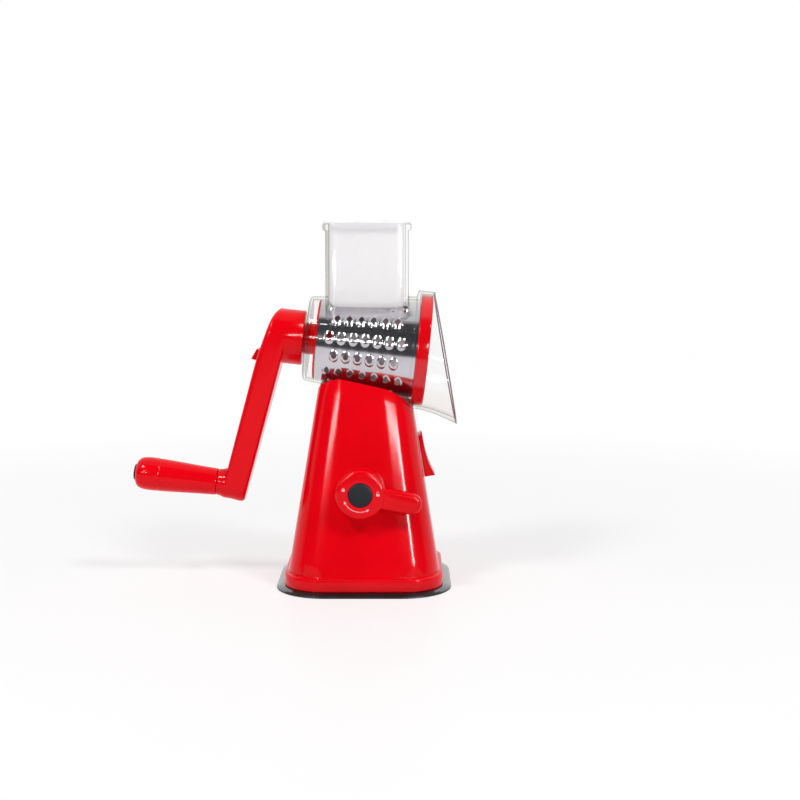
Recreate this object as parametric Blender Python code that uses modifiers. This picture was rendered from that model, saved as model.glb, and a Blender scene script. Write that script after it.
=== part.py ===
"""Rotary cheese grater with a suction base.

Metres, +Z up. The origin is the middle of the suction pad's flat underside. The locking knob
faces -Y, the crank is at -X and the outlet at +X. The drum turns on an axis that crosses the
Z axis and dips towards the outlet.
"""

import math

import bmesh
import bpy
from mathutils import Vector

# ---------------------------------------------------------------- driving dimensions
GAP = 0.0003                       # clearance between touching pieces
OVERCUT = 0.002                    # how far a cutter runs past the face it cuts

TILT = math.radians(6.0)           # dip of the drum axis towards the outlet
AXIS_Z = 0.1845                    # height at which the drum axis crosses the Z axis

PAD_WIDTH = 0.134                  # suction pad, a rounded square
PAD_CORNER = 0.0387
PAD_HEIGHT = 0.0031

PLINTH_HALF = 0.0608
PLINTH_CORNER = 0.031
PLINTH_BOTTOM = 0.0034
PLINTH_TOP = 0.0128
BODY_WALL = 0.0024
BODY_LOW = 0.0142                  # height where the tapered pedestal starts
BODY_LOW_HALF = 0.0576
BODY_HIGH = 0.1720                 # height where the pedestal's faces would end without the saddle
SLOPE_X = 0.163                    # inward lean of the side faces, metre per metre
SLOPE_Y = 0.181                    # inward lean of the front and back faces
BODY_LOW_CORNER = 0.029
BODY_HIGH_CORNER = 0.019

PLATE_THICK = 0.0030               # base plate
PLATE_HALF = 0.0576
DOME_TOP = 0.0185
SCREW_SPREAD = 0.0450              # base screws at plus and minus this in X and Y

KNOB_X = -0.0019                   # locking knob and its shaft, along Y
KNOB_Z = 0.0770
KNOB_RADIUS = 0.0188
KNOB_BACK_Y = -0.0508
KNOB_THICK = 0.0105
LEVER_ANGLE = math.radians(11.0)   # how far the lever points below level when released
LEVER_REACH = 0.0384
LEVER_HALF_WIDTH = 0.0080
CAP_RADIUS = 0.00905
SHAFT_RADIUS = 0.0060
CAM_LOW = 0.0065
CAM_LIFT = 0.0045
CAM_TURN = math.radians(160.0)

BARREL_LEFT = -0.0448              # stations along the drum axis, from where it crosses Z
BARREL_RIGHT = 0.0365
BARREL_RADIUS = 0.0325             # outer radius at BARREL_LEFT
BARREL_SLOPE = math.tan(math.radians(5.9))
CLEAR_WALL = 0.0020                # wall of the clear hopper
COLLAR_START = 0.0375
COLLAR_END = 0.0505
COLLAR_RADIUS = 0.0458
SADDLE_DROP = 0.0046               # saddle surface below the barrel's outer surface

CHUTE_X = 0.0028                   # middle of the feed chute
CHUTE_WIDTH = 0.0630
CHUTE_CORNER = 0.0090
RIM_WIDTH = 0.0669
RIM_BOTTOM = 0.2722
RIM_TOP = 0.2770
PUSHER_WIDTH = 0.0562
PUSHER_BOTTOM = 0.2140
PUSHER_TOP = 0.2793
PUSHER_WALL = 0.0020

DRUM_LEFT = -0.0357
DRUM_RIGHT = 0.0400
DRUM_RADIUS = 0.0306               # outer radius at DRUM_LEFT
DRUM_SLOPE = math.tan(math.radians(5.0))
DRUM_WALL = 0.0009
RING_RADIUS = 0.0427
RING_START = 0.0403
RING_END = 0.0494
TOOTH_ROWS = 14
TOOTH_PHASE = 0.15                 # first row's place, in rows from the drum's lowest line
TOOTH_PITCH = 0.0091
TOOTH_MIDDLE = 0.0011              # station of a row's middle
TOOTH_LENGTH = 0.0064
TOOTH_WIDTH = 0.0039

BOSS_RADIUS = 0.0122               # drum boss, which turns in the hopper's rear wall
HUB_RADIUS = 0.0213                # crank hub
HUB_FACE = -0.0467                 # station of the crank hub's inner face
ARM_TOP = Vector((-0.0677, 0.0, 0.1917))
ARM_BOTTOM = Vector((-0.1002, 0.0, 0.0748))
ARM_THICK = 0.0188
ARM_END_RADIUS = 0.0122
ARM_ROUNDING = 0.0036
SPIGOT_FLATS = 0.0114
GRIP_TILT = math.radians(7.0)      # dip of the grip's axis towards the arm
GRIP_INNER = -0.0152               # stations along the grip's own axis, from the arm's middle
GRIP_OUTER = -0.0798
BUTTON_TOP = -0.0142               # top of the release slider's thumb piece, along the arm
BUTTON_BOTTOM = -0.0227
BUTTON_TRAVEL = 0.0035

TAB_WIDTH = 0.0160
LATCH_MIDDLE_Z = 0.0985
LATCH_HALF_LENGTH = 0.0164
LATCH_WIDTH = 0.0220
LATCH_THIN = 0.0036                # thickness at the top and at the bottom
LATCH_THICK = 0.0084
TAB_THICK = 0.0016
SCREW_SIGNS = ((1, 1), (-1, 1), (-1, -1), (1, -1))

ROUND_STEPS = 40                   # sides of most round pieces
CUTTER_PHASE = math.radians(1.7)   # turns round cutters, so their edges miss those they cut

# ---------------------------------------------------------------- materials

COLOURS = {
    "red_plastic": ((0.78, 0.004, 0.012, 1.0), 0.22, 0.0),
    "black_rubber": ((0.015, 0.015, 0.017, 1.0), 0.60, 0.0),
    "dark_plastic": ((0.020, 0.024, 0.030, 1.0), 0.35, 0.0),
    "clear_plastic": ((0.90, 0.92, 0.93, 1.0), 0.05, 0.0),
    "milky_plastic": ((0.86, 0.85, 0.88, 1.0), 0.30, 0.0),
    "grey_plastic": ((0.35, 0.35, 0.36, 1.0), 0.45, 0.0),
    "steel": ((0.62, 0.62, 0.64, 1.0), 0.22, 1.0),
}


def make_material(name):
    colour, roughness, metallic = COLOURS[name]
    material = bpy.data.materials.new(name)
    material.use_nodes = True
    shader = material.node_tree.nodes["Principled BSDF"]
    shader.inputs["Base Color"].default_value = colour
    shader.inputs["Roughness"].default_value = roughness
    shader.inputs["Metallic"].default_value = metallic
    material.diffuse_color = colour
    return material


for startup_object in list(bpy.data.objects):
    bpy.data.objects.remove(startup_object, do_unlink=True)

PARTS = bpy.data.collections.new("rotary_cheese_grater")
CUTTERS = bpy.data.collections.new("cutters")
bpy.context.scene.collection.children.link(PARTS)
bpy.context.scene.collection.children.link(CUTTERS)
MATERIALS = {name: make_material(name) for name in COLOURS}

# ---------------------------------------------------------------- frames and helpers


def frame(name, location, turn_y=0.0, turn_x=0.0):
    """An empty that gives parts their place; its Z is the axis that they turn or slide on."""
    empty = bpy.data.objects.new(name, None)
    empty.location = location
    empty.rotation_euler = (turn_x, turn_y, 0.0)
    PARTS.objects.link(empty)
    return empty


def place(obj, material, parent):
    """Puts a finished object among the parts, or among the cutters when it has no material."""
    if material:
        PARTS.objects.link(obj)
        obj.data.materials.append(MATERIALS[material])
    else:
        CUTTERS.objects.link(obj)
        obj.hide_render = True
        obj.display_type = "WIRE"
    obj.parent = parent
    return obj


def from_bmesh(name, mesh, material, parent):
    bmesh.ops.recalc_face_normals(mesh, faces=mesh.faces)
    data = bpy.data.meshes.new(name)
    mesh.to_mesh(data)
    mesh.free()
    return place(bpy.data.objects.new(name, data), material, parent)


def turned(name, profile, material=None, parent=None, ring=False, steps=ROUND_STEPS):
    """A shape turned about its frame's Z. The (radius, z) profile runs down its outer side."""
    data = bpy.data.meshes.new(name)
    points = [(radius, 0.0, z) for radius, z in profile]
    edges = [(index, index + 1) for index in range(len(points) - 1)]
    if ring:
        edges.append((len(points) - 1, 0))
    data.from_pydata(points, edges, [])
    obj = place(bpy.data.objects.new(name, data), material, parent)
    if not material and steps > 6:
        obj.rotation_euler.z = CUTTER_PHASE
    screw = obj.modifiers.new("turn", "SCREW")
    screw.steps = steps
    screw.render_steps = steps
    screw.use_merge_vertices = True
    screw.merge_threshold = 0.00001
    return obj


def disc(name, radius, low, high, material=None, parent=None, steps=ROUND_STEPS):
    """A plain round bar from low to high along its frame's Z."""
    profile = [(0.0, high), (radius, high), (radius, low), (0.0, low)]
    return turned(name, profile, material, parent, steps=steps)


def tube(name, inner, outer, low, high, material=None, parent=None, steps=ROUND_STEPS):
    profile = [(inner, high), (outer, high), (outer, low), (inner, low)]
    return turned(name, profile, material, parent, ring=True, steps=steps)


def block(name, low, high, material=None, parent=None, corner=0.0, segments=4):
    """A box between two corners, with its edges along Z rounded."""
    mesh = bmesh.new()
    bmesh.ops.create_cube(mesh, size=1.0)
    size = [high[i] - low[i] for i in range(3)]
    middle = [(high[i] + low[i]) / 2 for i in range(3)]
    bmesh.ops.scale(mesh, vec=size, verts=mesh.verts)
    bmesh.ops.translate(mesh, vec=middle, verts=mesh.verts)
    if corner:
        upright = [
            edge for edge in mesh.edges
            if abs(edge.verts[0].co.z - edge.verts[1].co.z) > size[2] / 2
        ]
        bmesh.ops.bevel(
            mesh, geom=upright, offset=corner, segments=segments, profile=0.5, affect="EDGES"
        )
    return from_bmesh(name, mesh, material, parent)


def prism(name, outline, low, high, axis, material=None, parent=None):
    """A flat outline of (first, second) pairs pushed from low to high along X or Y."""
    mesh = bmesh.new()
    verts = []
    for first, second in outline:
        point = (low, first, second) if axis == "X" else (first, low, second)
        verts.append(mesh.verts.new(point))
    face = mesh.faces.new(verts)
    pushed = bmesh.ops.extrude_face_region(mesh, geom=[face])
    moved = [item for item in pushed["geom"] if isinstance(item, bmesh.types.BMVert)]
    step = (high - low, 0, 0) if axis == "X" else (0, high - low, 0)
    bmesh.ops.translate(mesh, vec=step, verts=moved)
    return from_bmesh(name, mesh, material, parent)


def loft(name, rings, material=None, parent=None):
    """Skins closed rings of equal length, bottom to top, and caps both ends."""
    mesh = bmesh.new()
    rows = [[mesh.verts.new(point) for point in ring] for ring in rings]
    count = len(rows[0])
    for low_row, high_row in zip(rows, rows[1:]):
        for index in range(count):
            after = (index + 1) % count
            mesh.faces.new((low_row[index], low_row[after], high_row[after], high_row[index]))
    mesh.faces.new(list(reversed(rows[0])))
    mesh.faces.new(rows[-1])
    return from_bmesh(name, mesh, material, parent)


def combine(target, tool, operation):
    """Adds a Boolean step to the target: UNION, DIFFERENCE or INTERSECT with a cutter object."""
    step = target.modifiers.new(f"{operation.lower()}_{tool.name}", "BOOLEAN")
    step.operation = operation
    step.object = tool
    step.solver = "EXACT"
    return target


def round_edges(obj, width, segments, limit_degrees=40.0):
    bevel = obj.modifiers.new("rounding", "BEVEL")
    bevel.width = width
    bevel.segments = segments
    bevel.limit_method = "ANGLE"
    bevel.angle_limit = math.radians(limit_degrees)
    return obj


def rounded_square(half_x, half_y, corner, z, per_corner=6):
    """Points of a rounded rectangle at height z, anticlockwise."""
    points = []
    corners = ((1, 1, 0), (-1, 1, 90), (-1, -1, 180), (1, -1, 270))
    for sign_x, sign_y, start in corners:
        centre_x = sign_x * (half_x - corner)
        centre_y = sign_y * (half_y - corner)
        for index in range(per_corner + 1):
            angle = math.radians(start + 90.0 * index / per_corner)
            x = centre_x + corner * math.cos(angle)
            y = centre_y + corner * math.sin(angle)
            points.append((x, y, z))
    return points


def hexagon(flats):
    """Outline of a hexagon of the given width across flats, for a 6 step turned shape."""
    return flats / math.sqrt(3.0)


def coil(name, radius, wire, low, high, turns, material, parent, points_per_turn=10):
    """A compression spring along its frame's Z, as one round wire with closed ends."""
    curve = bpy.data.curves.new(name, "CURVE")
    curve.dimensions = "3D"
    curve.bevel_depth = wire
    curve.bevel_resolution = 2
    curve.use_fill_caps = True
    spline = curve.splines.new("POLY")
    count = turns * points_per_turn + 1
    spline.points.add(count - 1)
    for index, point in enumerate(spline.points):
        share = index / (count - 1)
        angle = 2 * math.pi * turns * share
        z = low + wire + (high - low - 2 * wire) * share
        point.co = (radius * math.cos(angle), radius * math.sin(angle), z, 1.0)
    return place(bpy.data.objects.new(name, curve), material, parent)


DRUM_TURN = math.radians(90.0) + TILT
drum_axis = frame("drum_axis", (0.0, 0.0, AXIS_Z), turn_y=DRUM_TURN)

# The lever's frame has its Z along -Y, out of the front. Its X stays X and its Y points up.
knob_axis = frame("knob_axis", (KNOB_X, 0.0, KNOB_Z), turn_x=math.radians(90.0))

# ---------------------------------------------------------------- pedestal


def body_half(height, low_half, slope):
    return low_half - slope * (height - BODY_LOW)


def body_rings(inset, bottom=PLINTH_BOTTOM):
    """Rings of the pedestal's surface, drawn in by inset, from the plinth up."""
    rings = []
    plinth_half = PLINTH_HALF - inset
    for height in (bottom, PLINTH_TOP - inset):
        rings.append(rounded_square(plinth_half, plinth_half, PLINTH_CORNER - inset, height))
    for height in (BODY_LOW - inset, BODY_HIGH):
        share = (height - BODY_LOW) / (BODY_HIGH - BODY_LOW)
        corner = BODY_LOW_CORNER + (BODY_HIGH_CORNER - BODY_LOW_CORNER) * share - inset
        half_x = body_half(height, BODY_LOW_HALF, SLOPE_X) - inset
        half_y = body_half(height, BODY_LOW_HALF, SLOPE_Y) - inset
        rings.append(rounded_square(half_x, half_y, corner, height))
    return rings


def barrel_outer(station):
    return BARREL_RADIUS + BARREL_SLOPE * (station - BARREL_LEFT)


def barrel_cone(name, extra, low=-0.070, high=0.070, collar=0.0):
    """A solid cone along the drum axis, extra outside the barrel and, past it, round the collar."""
    profile = [(0.0, high), (collar or barrel_outer(high) + extra, high)]
    if collar:
        step = COLLAR_START - 0.0010
        profile += [(collar, step), (barrel_outer(step) + extra, step)]
    profile += [(barrel_outer(low) + extra, low), (0.0, low)]
    return turned(name, profile, parent=drum_axis, steps=96)


def face_x(height):
    """X of the pedestal's right face at a height."""
    return body_half(height, BODY_LOW_HALF, SLOPE_X)


SIDE_LEAN = math.atan(SLOPE_X)
latch_frame = frame(
    "latch_frame", (face_x(LATCH_MIDDLE_Z), 0.0, LATCH_MIDDLE_Z), turn_y=-SIDE_LEAN
)


def build_body():
    body = loft("body_shell", body_rings(0.0), "red_plastic")
    boss = disc("knob_boss", KNOB_RADIUS, 0.030, -KNOB_BACK_Y - GAP, parent=knob_axis)
    combine(body, boss, "UNION")

    cavity = loft("body_cavity", body_rings(BODY_WALL, PLINTH_BOTTOM - OVERCUT))
    collar = COLLAR_RADIUS + 2 * GAP
    roof = barrel_cone("saddle_roof", SADDLE_DROP + BODY_WALL, collar=collar + BODY_WALL)
    combine(cavity, roof, "DIFFERENCE")
    combine(body, cavity, "DIFFERENCE")
    combine(body, barrel_cone("saddle_cut", SADDLE_DROP, collar=collar), "DIFFERENCE")

    # The catch's lug runs in a slot, and its spring stands on a shelf.
    slot = block("latch_slot", (-0.0060, -0.0068, -0.0135), (0.0030, 0.0068, 0.0072),
                 parent=latch_frame)
    combine(body, slot, "DIFFERENCE")
    shelf = block("latch_shelf", (-0.0100, -0.0060, -0.0285), (-0.0012, 0.0060, -0.0262),
                  parent=latch_frame)
    combine(body, shelf, "UNION")

    for number, (sign_x, sign_y) in enumerate(SCREW_SIGNS, start=1):
        post_frame = frame(f"post_{number}", (sign_x * SCREW_SPREAD, sign_y * SCREW_SPREAD, 0.0))
        post = disc(f"screw_post_{number}", 0.0040, 0.0070, 0.0175, parent=post_frame, steps=24)
        combine(body, post, "UNION")
        hole = disc(f"screw_hole_{number}", 0.0018, 0.0050, 0.0155, parent=post_frame, steps=16)
        combine(body, hole, "DIFFERENCE")

    # A rib across the inside carries the far end of the cam shaft.
    rib_low, rib_high = KNOB_Z - 0.013, KNOB_Z + 0.013
    wide, narrow = (face_x(z) - BODY_WALL / 2 for z in (rib_low, rib_high))
    rib_outline = [(-wide, rib_low), (wide, rib_low), (narrow, rib_high), (-narrow, rib_high)]
    combine(body, prism("shaft_rib", rib_outline, 0.0110, 0.0134, "Y"), "UNION")
    shaft_bore = disc("rib_bore", SHAFT_RADIUS + 0.0004, -0.0160, -0.0080, parent=knob_axis)
    combine(body, shaft_bore, "DIFFERENCE")
    bush_bore = disc("bush_bore", 0.0083, 0.0300, 0.0600, parent=knob_axis)
    combine(body, bush_bore, "DIFFERENCE")

    return body


def build_base():
    half = PAD_WIDTH / 2
    loft(
        "suction_pad",
        [
            rounded_square(half, half, PAD_CORNER, 0.0),
            rounded_square(half, half, PAD_CORNER, 0.0010),
            rounded_square(half - 0.0040, half - 0.0040, PAD_CORNER - 0.0040, PAD_HEIGHT),
        ],
        "black_rubber",
    )

    bottom = PLINTH_BOTTOM + GAP
    top = bottom + PLATE_THICK
    plate_levels = [rounded_square(PLATE_HALF, PLATE_HALF, 0.0275, z) for z in (bottom, top)]
    plate = loft("base_plate", plate_levels, "grey_plastic")
    well = disc("plate_well", 0.0222, bottom - OVERCUT, top + OVERCUT, steps=32)
    combine(plate, well, "DIFFERENCE")
    # The dome over the well guides the stem.
    dome_profile = [
        (0.0068, DOME_TOP),
        (0.0120, DOME_TOP),
        (0.0250, 0.0140),
        (0.0250, top - 0.0010),
        (0.0222, top - 0.0010),
        (0.0222, 0.0122),
        (0.0110, 0.0155),
        (0.0068, 0.0155),
    ]
    combine(plate, turned("plate_dome", dome_profile, ring=True, steps=32), "UNION")
    for number, (sign_x, sign_y) in enumerate(SCREW_SIGNS, start=1):
        spot = (sign_x * SCREW_SPREAD, sign_y * SCREW_SPREAD, 0.0)
        screw_frame = frame(f"screw_frame_{number}", spot)
        hole = disc(f"plate_hole_{number}", 0.0020, 0.0020, 0.0080, parent=screw_frame, steps=16)
        combine(plate, hole, "DIFFERENCE")
        recess = disc(f"plate_sink_{number}", 0.0036, 0.0020, 0.0052, parent=screw_frame, steps=16)
        combine(plate, recess, "DIFFERENCE")
        screw_profile = [
            (0.0, 0.0145),
            (0.0006, 0.0145),
            (0.0015, 0.0130),
            (0.0015, 0.0049),
            (0.0032, 0.0049),
            (0.0032, 0.0038),
            (0.0, 0.0038),
        ]
        turned(f"base_screw_{number}", screw_profile, "steel", screw_frame, steps=16)


# ---------------------------------------------------------------- suction mechanism


def cam_radius(angle):
    """Cam radius at an angle from up, clockwise seen from the front; rises in proportion."""
    fall = math.radians(60.0)
    if angle <= CAM_TURN:
        return CAM_LOW + CAM_LIFT * angle / CAM_TURN
    if angle <= CAM_TURN + fall:
        return CAM_LOW + CAM_LIFT * (1.0 - (angle - CAM_TURN) / fall)
    return CAM_LOW


def build_stem():
    stem = disc("suction_stem", 0.0200, PAD_HEIGHT + GAP, PAD_HEIGHT + GAP + 0.0030, "grey_plastic")
    combine(stem, disc("stem_post", 0.0063, 0.0050, 0.0630, steps=32), "UNION")
    window_top = KNOB_Z + CAM_LOW + 0.0004
    window_bottom = KNOB_Z - CAM_LOW - CAM_LIFT - 0.0008
    yoke = block("stem_yoke", (KNOB_X - 0.0165, -0.0040, window_bottom - 0.0045),
                 (KNOB_X + 0.0165, 0.0040, window_top + 0.0055))
    combine(stem, yoke, "UNION")
    window = block("yoke_window", (KNOB_X - 0.0122, -0.0060, window_bottom),
                   (KNOB_X + 0.0122, 0.0060, window_top))
    combine(stem, window, "DIFFERENCE")
    return stem


def build_cam_shaft():
    """Shaft and cam in one piece, with the cam's low side up when released."""
    shaft = disc("cam_shaft", SHAFT_RADIUS, -0.0175, 0.0553, "grey_plastic", knob_axis, steps=32)
    outline = []
    for index in range(48):
        angle = 2 * math.pi * index / 48
        radius = cam_radius(angle)
        outline.append((KNOB_X + radius * math.sin(angle), KNOB_Z + radius * math.cos(angle)))
    combine(shaft, prism("cam_lobe", outline, -0.0050, 0.0050, "Y"), "UNION")
    pilot = disc("shaft_pilot", 0.0018, 0.0430, 0.0580, parent=knob_axis, steps=16)
    combine(shaft, pilot, "DIFFERENCE")
    tube("shaft_clip", SHAFT_RADIUS + GAP, 0.0090, -0.0150, -0.0138, "steel", knob_axis, steps=32)
    bush_profile = [
        (0.0063, 0.0502),
        (0.0080, 0.0502),
        (0.0080, 0.0410),
        (0.0108, 0.0410),
        (0.0108, 0.0398),
        (0.0063, 0.0398),
    ]
    turned("shaft_bush", bush_profile, "dark_plastic", knob_axis, ring=True, steps=32)


def build_lever():
    back = -KNOB_BACK_Y
    front = back + KNOB_THICK
    knob_profile = [
        (0.0, front),
        (KNOB_RADIUS - 0.0028, front),
        (KNOB_RADIUS - 0.0011, front - 0.0006),
        (KNOB_RADIUS - 0.0002, front - 0.0024),
        (KNOB_RADIUS, front - 0.0045),
        (KNOB_RADIUS, back + 0.0006),
        (KNOB_RADIUS - 0.0006, back),
        (0.0, back),
    ]
    lever = turned("lever", knob_profile, "red_plastic", knob_axis)
    outline = []
    for index in range(17):
        angle = math.radians(-90.0 + 180.0 * index / 16)
        x = LEVER_REACH + LEVER_HALF_WIDTH * math.cos(angle)
        outline.append((x, LEVER_HALF_WIDTH * math.sin(angle)))
    outline += [(0.0105, LEVER_HALF_WIDTH), (0.0105, -LEVER_HALF_WIDTH)]
    # Turned from level to where the released lever points, in the knob's plane.
    along = Vector((math.cos(LEVER_ANGLE), -math.sin(LEVER_ANGLE)))
    across = Vector((math.sin(LEVER_ANGLE), math.cos(LEVER_ANGLE)))
    placed = [along * x + across * y + Vector((KNOB_X, KNOB_Z)) for x, y in outline]
    arm = prism("lever_arm", placed, KNOB_BACK_Y - 0.0010, KNOB_BACK_Y - KNOB_THICK + 0.0012, "Y")
    round_edges(arm, 0.0022, 2)
    combine(lever, arm, "UNION")
    cuts = (
        ("cap_recess", CAP_RADIUS + GAP, front - 0.0015, front + OVERCUT),
        ("head_recess", 0.0046, front - 0.0040, front + OVERCUT),
        ("screw_way", 0.0021, back, front),
        ("shaft_socket", SHAFT_RADIUS + GAP, back - OVERCUT, 0.0556),
    )
    for name, radius, low, high in cuts:
        combine(lever, disc(name, radius, low, high, parent=knob_axis, steps=32), "DIFFERENCE")

    cap_profile = [
        (0.0, front + 0.0004),
        (CAP_RADIUS - 0.0005, front + 0.0004),
        (CAP_RADIUS, front - 0.0001),
        (CAP_RADIUS, front - 0.0012),
        (0.0, front - 0.0012),
    ]
    turned("lever_cap", cap_profile, "dark_plastic", knob_axis, steps=40)
    screw_profile = [
        (0.0, front - 0.0017),
        (0.0030, front - 0.0017),
        (0.0040, front - 0.0025),
        (0.0040, front - 0.0037),
        (0.0015, front - 0.0037),
        (0.0015, 0.0450),
        (0.0, 0.0440),
    ]
    turned("lever_screw", screw_profile, "steel", knob_axis, steps=24)


# ---------------------------------------------------------------- catch


def latch_thickness(z):
    """Outward thickness of the catch, which flares towards its bottom."""
    share = (LATCH_HALF_LENGTH - z) / (2 * LATCH_HALF_LENGTH)
    return LATCH_THIN + (LATCH_THICK - LATCH_THIN) * share ** 2.8


def build_latch():
    outline = [(GAP, -LATCH_HALF_LENGTH)]
    for index in range(13):
        z = -LATCH_HALF_LENGTH + 2 * LATCH_HALF_LENGTH * index / 12
        outline.append((GAP + latch_thickness(z), z))
    outline.append((GAP, LATCH_HALF_LENGTH))
    half = LATCH_WIDTH / 2
    latch = prism("latch", outline, -half, half, "Y", "red_plastic", latch_frame)
    round_edges(latch, 0.0008, 2, 60.0)
    lug = block("latch_lug", (-0.0052, -0.0060, -0.0065), (0.0010, 0.0060, 0.0065),
                parent=latch_frame)
    combine(latch, lug, "UNION")
    # The finger at the top hooks in front of the hopper's tab.
    finger_inside = GAP + TAB_THICK + GAP
    finger = block("latch_finger", (finger_inside, -0.0068, 0.0120), (0.0036, 0.0068, 0.0222),
                   parent=latch_frame)
    combine(latch, finger, "UNION")

    keeper = block("latch_keeper", (-0.0050, -0.0100, -0.0105), (-0.0028, 0.0100, 0.0105),
                   "grey_plastic", latch_frame)
    lug_way = block("keeper_window", (-0.0080, -0.0063, -0.0068), (0.0, 0.0063, 0.0068),
                    parent=latch_frame)
    combine(keeper, lug_way, "DIFFERENCE")
    spring_frame = frame("latch_spring_frame", (-0.0062, 0.0, 0.0))
    spring_frame.parent = latch_frame
    coil("latch_spring", 0.0022, 0.00035, -0.0259, -0.0108, 6, "steel", spring_frame)


# ---------------------------------------------------------------- hopper and pusher


def spout_rings(inset, start, past):
    """Rings of the outlet guard, from the collar's circle to its leaning oval rim."""
    top = Vector((0.0545, 0.0, 0.2247))
    tip = Vector((0.0718, 0.0, 0.1225))
    rim_up = (top - tip).normalized()
    rim_middle = (top + tip) / 2
    rim_tall = (top - tip).length / 2 - inset
    rim_wide = 0.0475 - inset
    axis = Vector((math.cos(TILT), 0.0, -math.sin(TILT)))
    axis_up = Vector((math.sin(TILT), 0.0, math.cos(TILT)))
    start_middle = Vector((0.0, 0.0, AXIS_Z)) + axis * start
    start_radius = COLLAR_RADIUS - 0.0001 - inset
    outward = axis * past
    rings = []
    for share in (0.0, 0.35, 0.7, 1.0):
        flare = share ** 1.4
        ring = []
        for index in range(48):
            angle = 2 * math.pi * index / 48
            sideways = math.cos(angle)
            up = math.sin(angle)
            near = start_middle + axis_up * (start_radius * up)
            far = rim_middle + rim_up * (rim_tall * up)
            point = near.lerp(far, share)
            # The flare opens late, so the walls leave the collar nearly straight.
            height_share = point.dot(axis_up)
            level = near.dot(axis_up) * (1 - flare) + far.dot(axis_up) * flare
            point += axis_up * (level - height_share)
            wide = start_radius + (rim_wide - start_radius) * flare
            point.y = wide * sideways
            ring.append(point + outward * share)
        rings.append(ring)
    if past:
        rings.insert(0, [point - axis * 0.004 for point in rings[0]])
    return rings


def build_hopper():
    shell_profile = [
        (0.0, COLLAR_END),
        (COLLAR_RADIUS, COLLAR_END),
        (COLLAR_RADIUS, COLLAR_START),
        (barrel_outer(BARREL_RIGHT), BARREL_RIGHT),
        (barrel_outer(BARREL_LEFT + 0.0020), BARREL_LEFT + 0.0020),
        (barrel_outer(BARREL_LEFT) - 0.0006, BARREL_LEFT + 0.0006),
        (barrel_outer(BARREL_LEFT) - 0.0020, BARREL_LEFT),
        (0.0, BARREL_LEFT),
    ]
    hopper = turned("hopper", shell_profile, "clear_plastic", drum_axis, steps=56)
    combine(hopper, loft("spout_outer", spout_rings(0.0, COLLAR_END - 0.003, 0.0)), "UNION")

    half = CHUTE_WIDTH / 2
    chute = block("chute_outer", (CHUTE_X - half, -half, AXIS_Z + 0.004),
                  (CHUTE_X + half, half, RIM_BOTTOM + 0.001), corner=CHUTE_CORNER, segments=6)
    combine(hopper, chute, "UNION")
    rim_half = RIM_WIDTH / 2
    rim = block("chute_rim", (CHUTE_X - rim_half, -rim_half, RIM_BOTTOM),
                (CHUTE_X + rim_half, rim_half, RIM_TOP), corner=CHUTE_CORNER + 0.002, segments=6)
    combine(hopper, rim, "UNION")

    foot = barrel_cone("hopper_foot", SADDLE_DROP - GAP, low=-0.036, high=0.041)
    foot_area = block("foot_area", (-0.0315, -0.0265, 0.1250), (0.0345, 0.0265, 0.1720), corner=0.006)
    combine(foot, foot_area, "INTERSECT")
    combine(hopper, foot, "UNION")
    # The tab hangs down the pedestal's right face, to the catch.
    tab = block("hopper_tab", (GAP, -TAB_WIDTH / 2, 0.0170), (GAP + TAB_THICK, TAB_WIDTH / 2, 0.0390),
                parent=latch_frame)
    combine(hopper, tab, "UNION")

    inside_profile = [
        (0.0, COLLAR_END + OVERCUT),
        (COLLAR_RADIUS - 0.0022, COLLAR_END + OVERCUT),
        (COLLAR_RADIUS - 0.0022, COLLAR_START + CLEAR_WALL),
        (barrel_outer(COLLAR_START) - CLEAR_WALL, COLLAR_START + CLEAR_WALL),
        (barrel_outer(BARREL_LEFT + 0.0022) - CLEAR_WALL, BARREL_LEFT + 0.0022),
        (0.0, BARREL_LEFT + 0.0022),
    ]
    inside = turned("barrel_inside", inside_profile, parent=drum_axis, steps=56)
    combine(hopper, inside, "DIFFERENCE")
    combine(hopper, loft("spout_inside", spout_rings(0.0020, COLLAR_END - 0.001, 0.0040)),
            "DIFFERENCE")
    inner = half - 0.0022
    chute_inside = block("chute_inside", (CHUTE_X - inner, -inner, AXIS_Z + 0.006),
                         (CHUTE_X + inner, inner, RIM_TOP + OVERCUT),
                         corner=CHUTE_CORNER - 0.0022, segments=6)
    combine(hopper, chute_inside, "DIFFERENCE")
    bearing = disc("rear_bearing", BOSS_RADIUS + 0.0004, BARREL_LEFT - OVERCUT, BARREL_LEFT + 0.0050,
                   parent=drum_axis)
    combine(hopper, bearing, "DIFFERENCE")
    return hopper


def build_pusher():
    half = PUSHER_WIDTH / 2
    pusher = block("pusher", (CHUTE_X - half, -half, PUSHER_BOTTOM), (CHUTE_X + half, half, PUSHER_TOP),
                   "milky_plastic", corner=0.0060, segments=5)
    lip_half = RIM_WIDTH / 2
    lip = block("pusher_lip", (CHUTE_X - lip_half, -lip_half, RIM_TOP + GAP),
                (CHUTE_X + lip_half, lip_half, PUSHER_TOP + 0.0001), corner=0.0110, segments=6)
    combine(pusher, lip, "UNION")
    # The underside is arched to follow the drum.
    arch = disc("pusher_arch", 0.0378, -0.060, 0.060, parent=drum_axis, steps=64)
    combine(pusher, arch, "DIFFERENCE")
    inner = half - PUSHER_WALL
    inside = block("pusher_inside", (CHUTE_X - inner, -inner, PUSHER_BOTTOM + PUSHER_WALL),
                   (CHUTE_X + inner, inner, PUSHER_TOP + OVERCUT), corner=0.0040, segments=5)
    arch_floor = disc("arch_floor", 0.0378 + PUSHER_WALL, -0.060, 0.060, parent=drum_axis, steps=64)
    combine(inside, arch_floor, "DIFFERENCE")
    combine(pusher, inside, "DIFFERENCE")
    return pusher


# ---------------------------------------------------------------- drum


def drum_outer(station):
    return DRUM_RADIUS + DRUM_SLOPE * (station - DRUM_LEFT)


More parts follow.
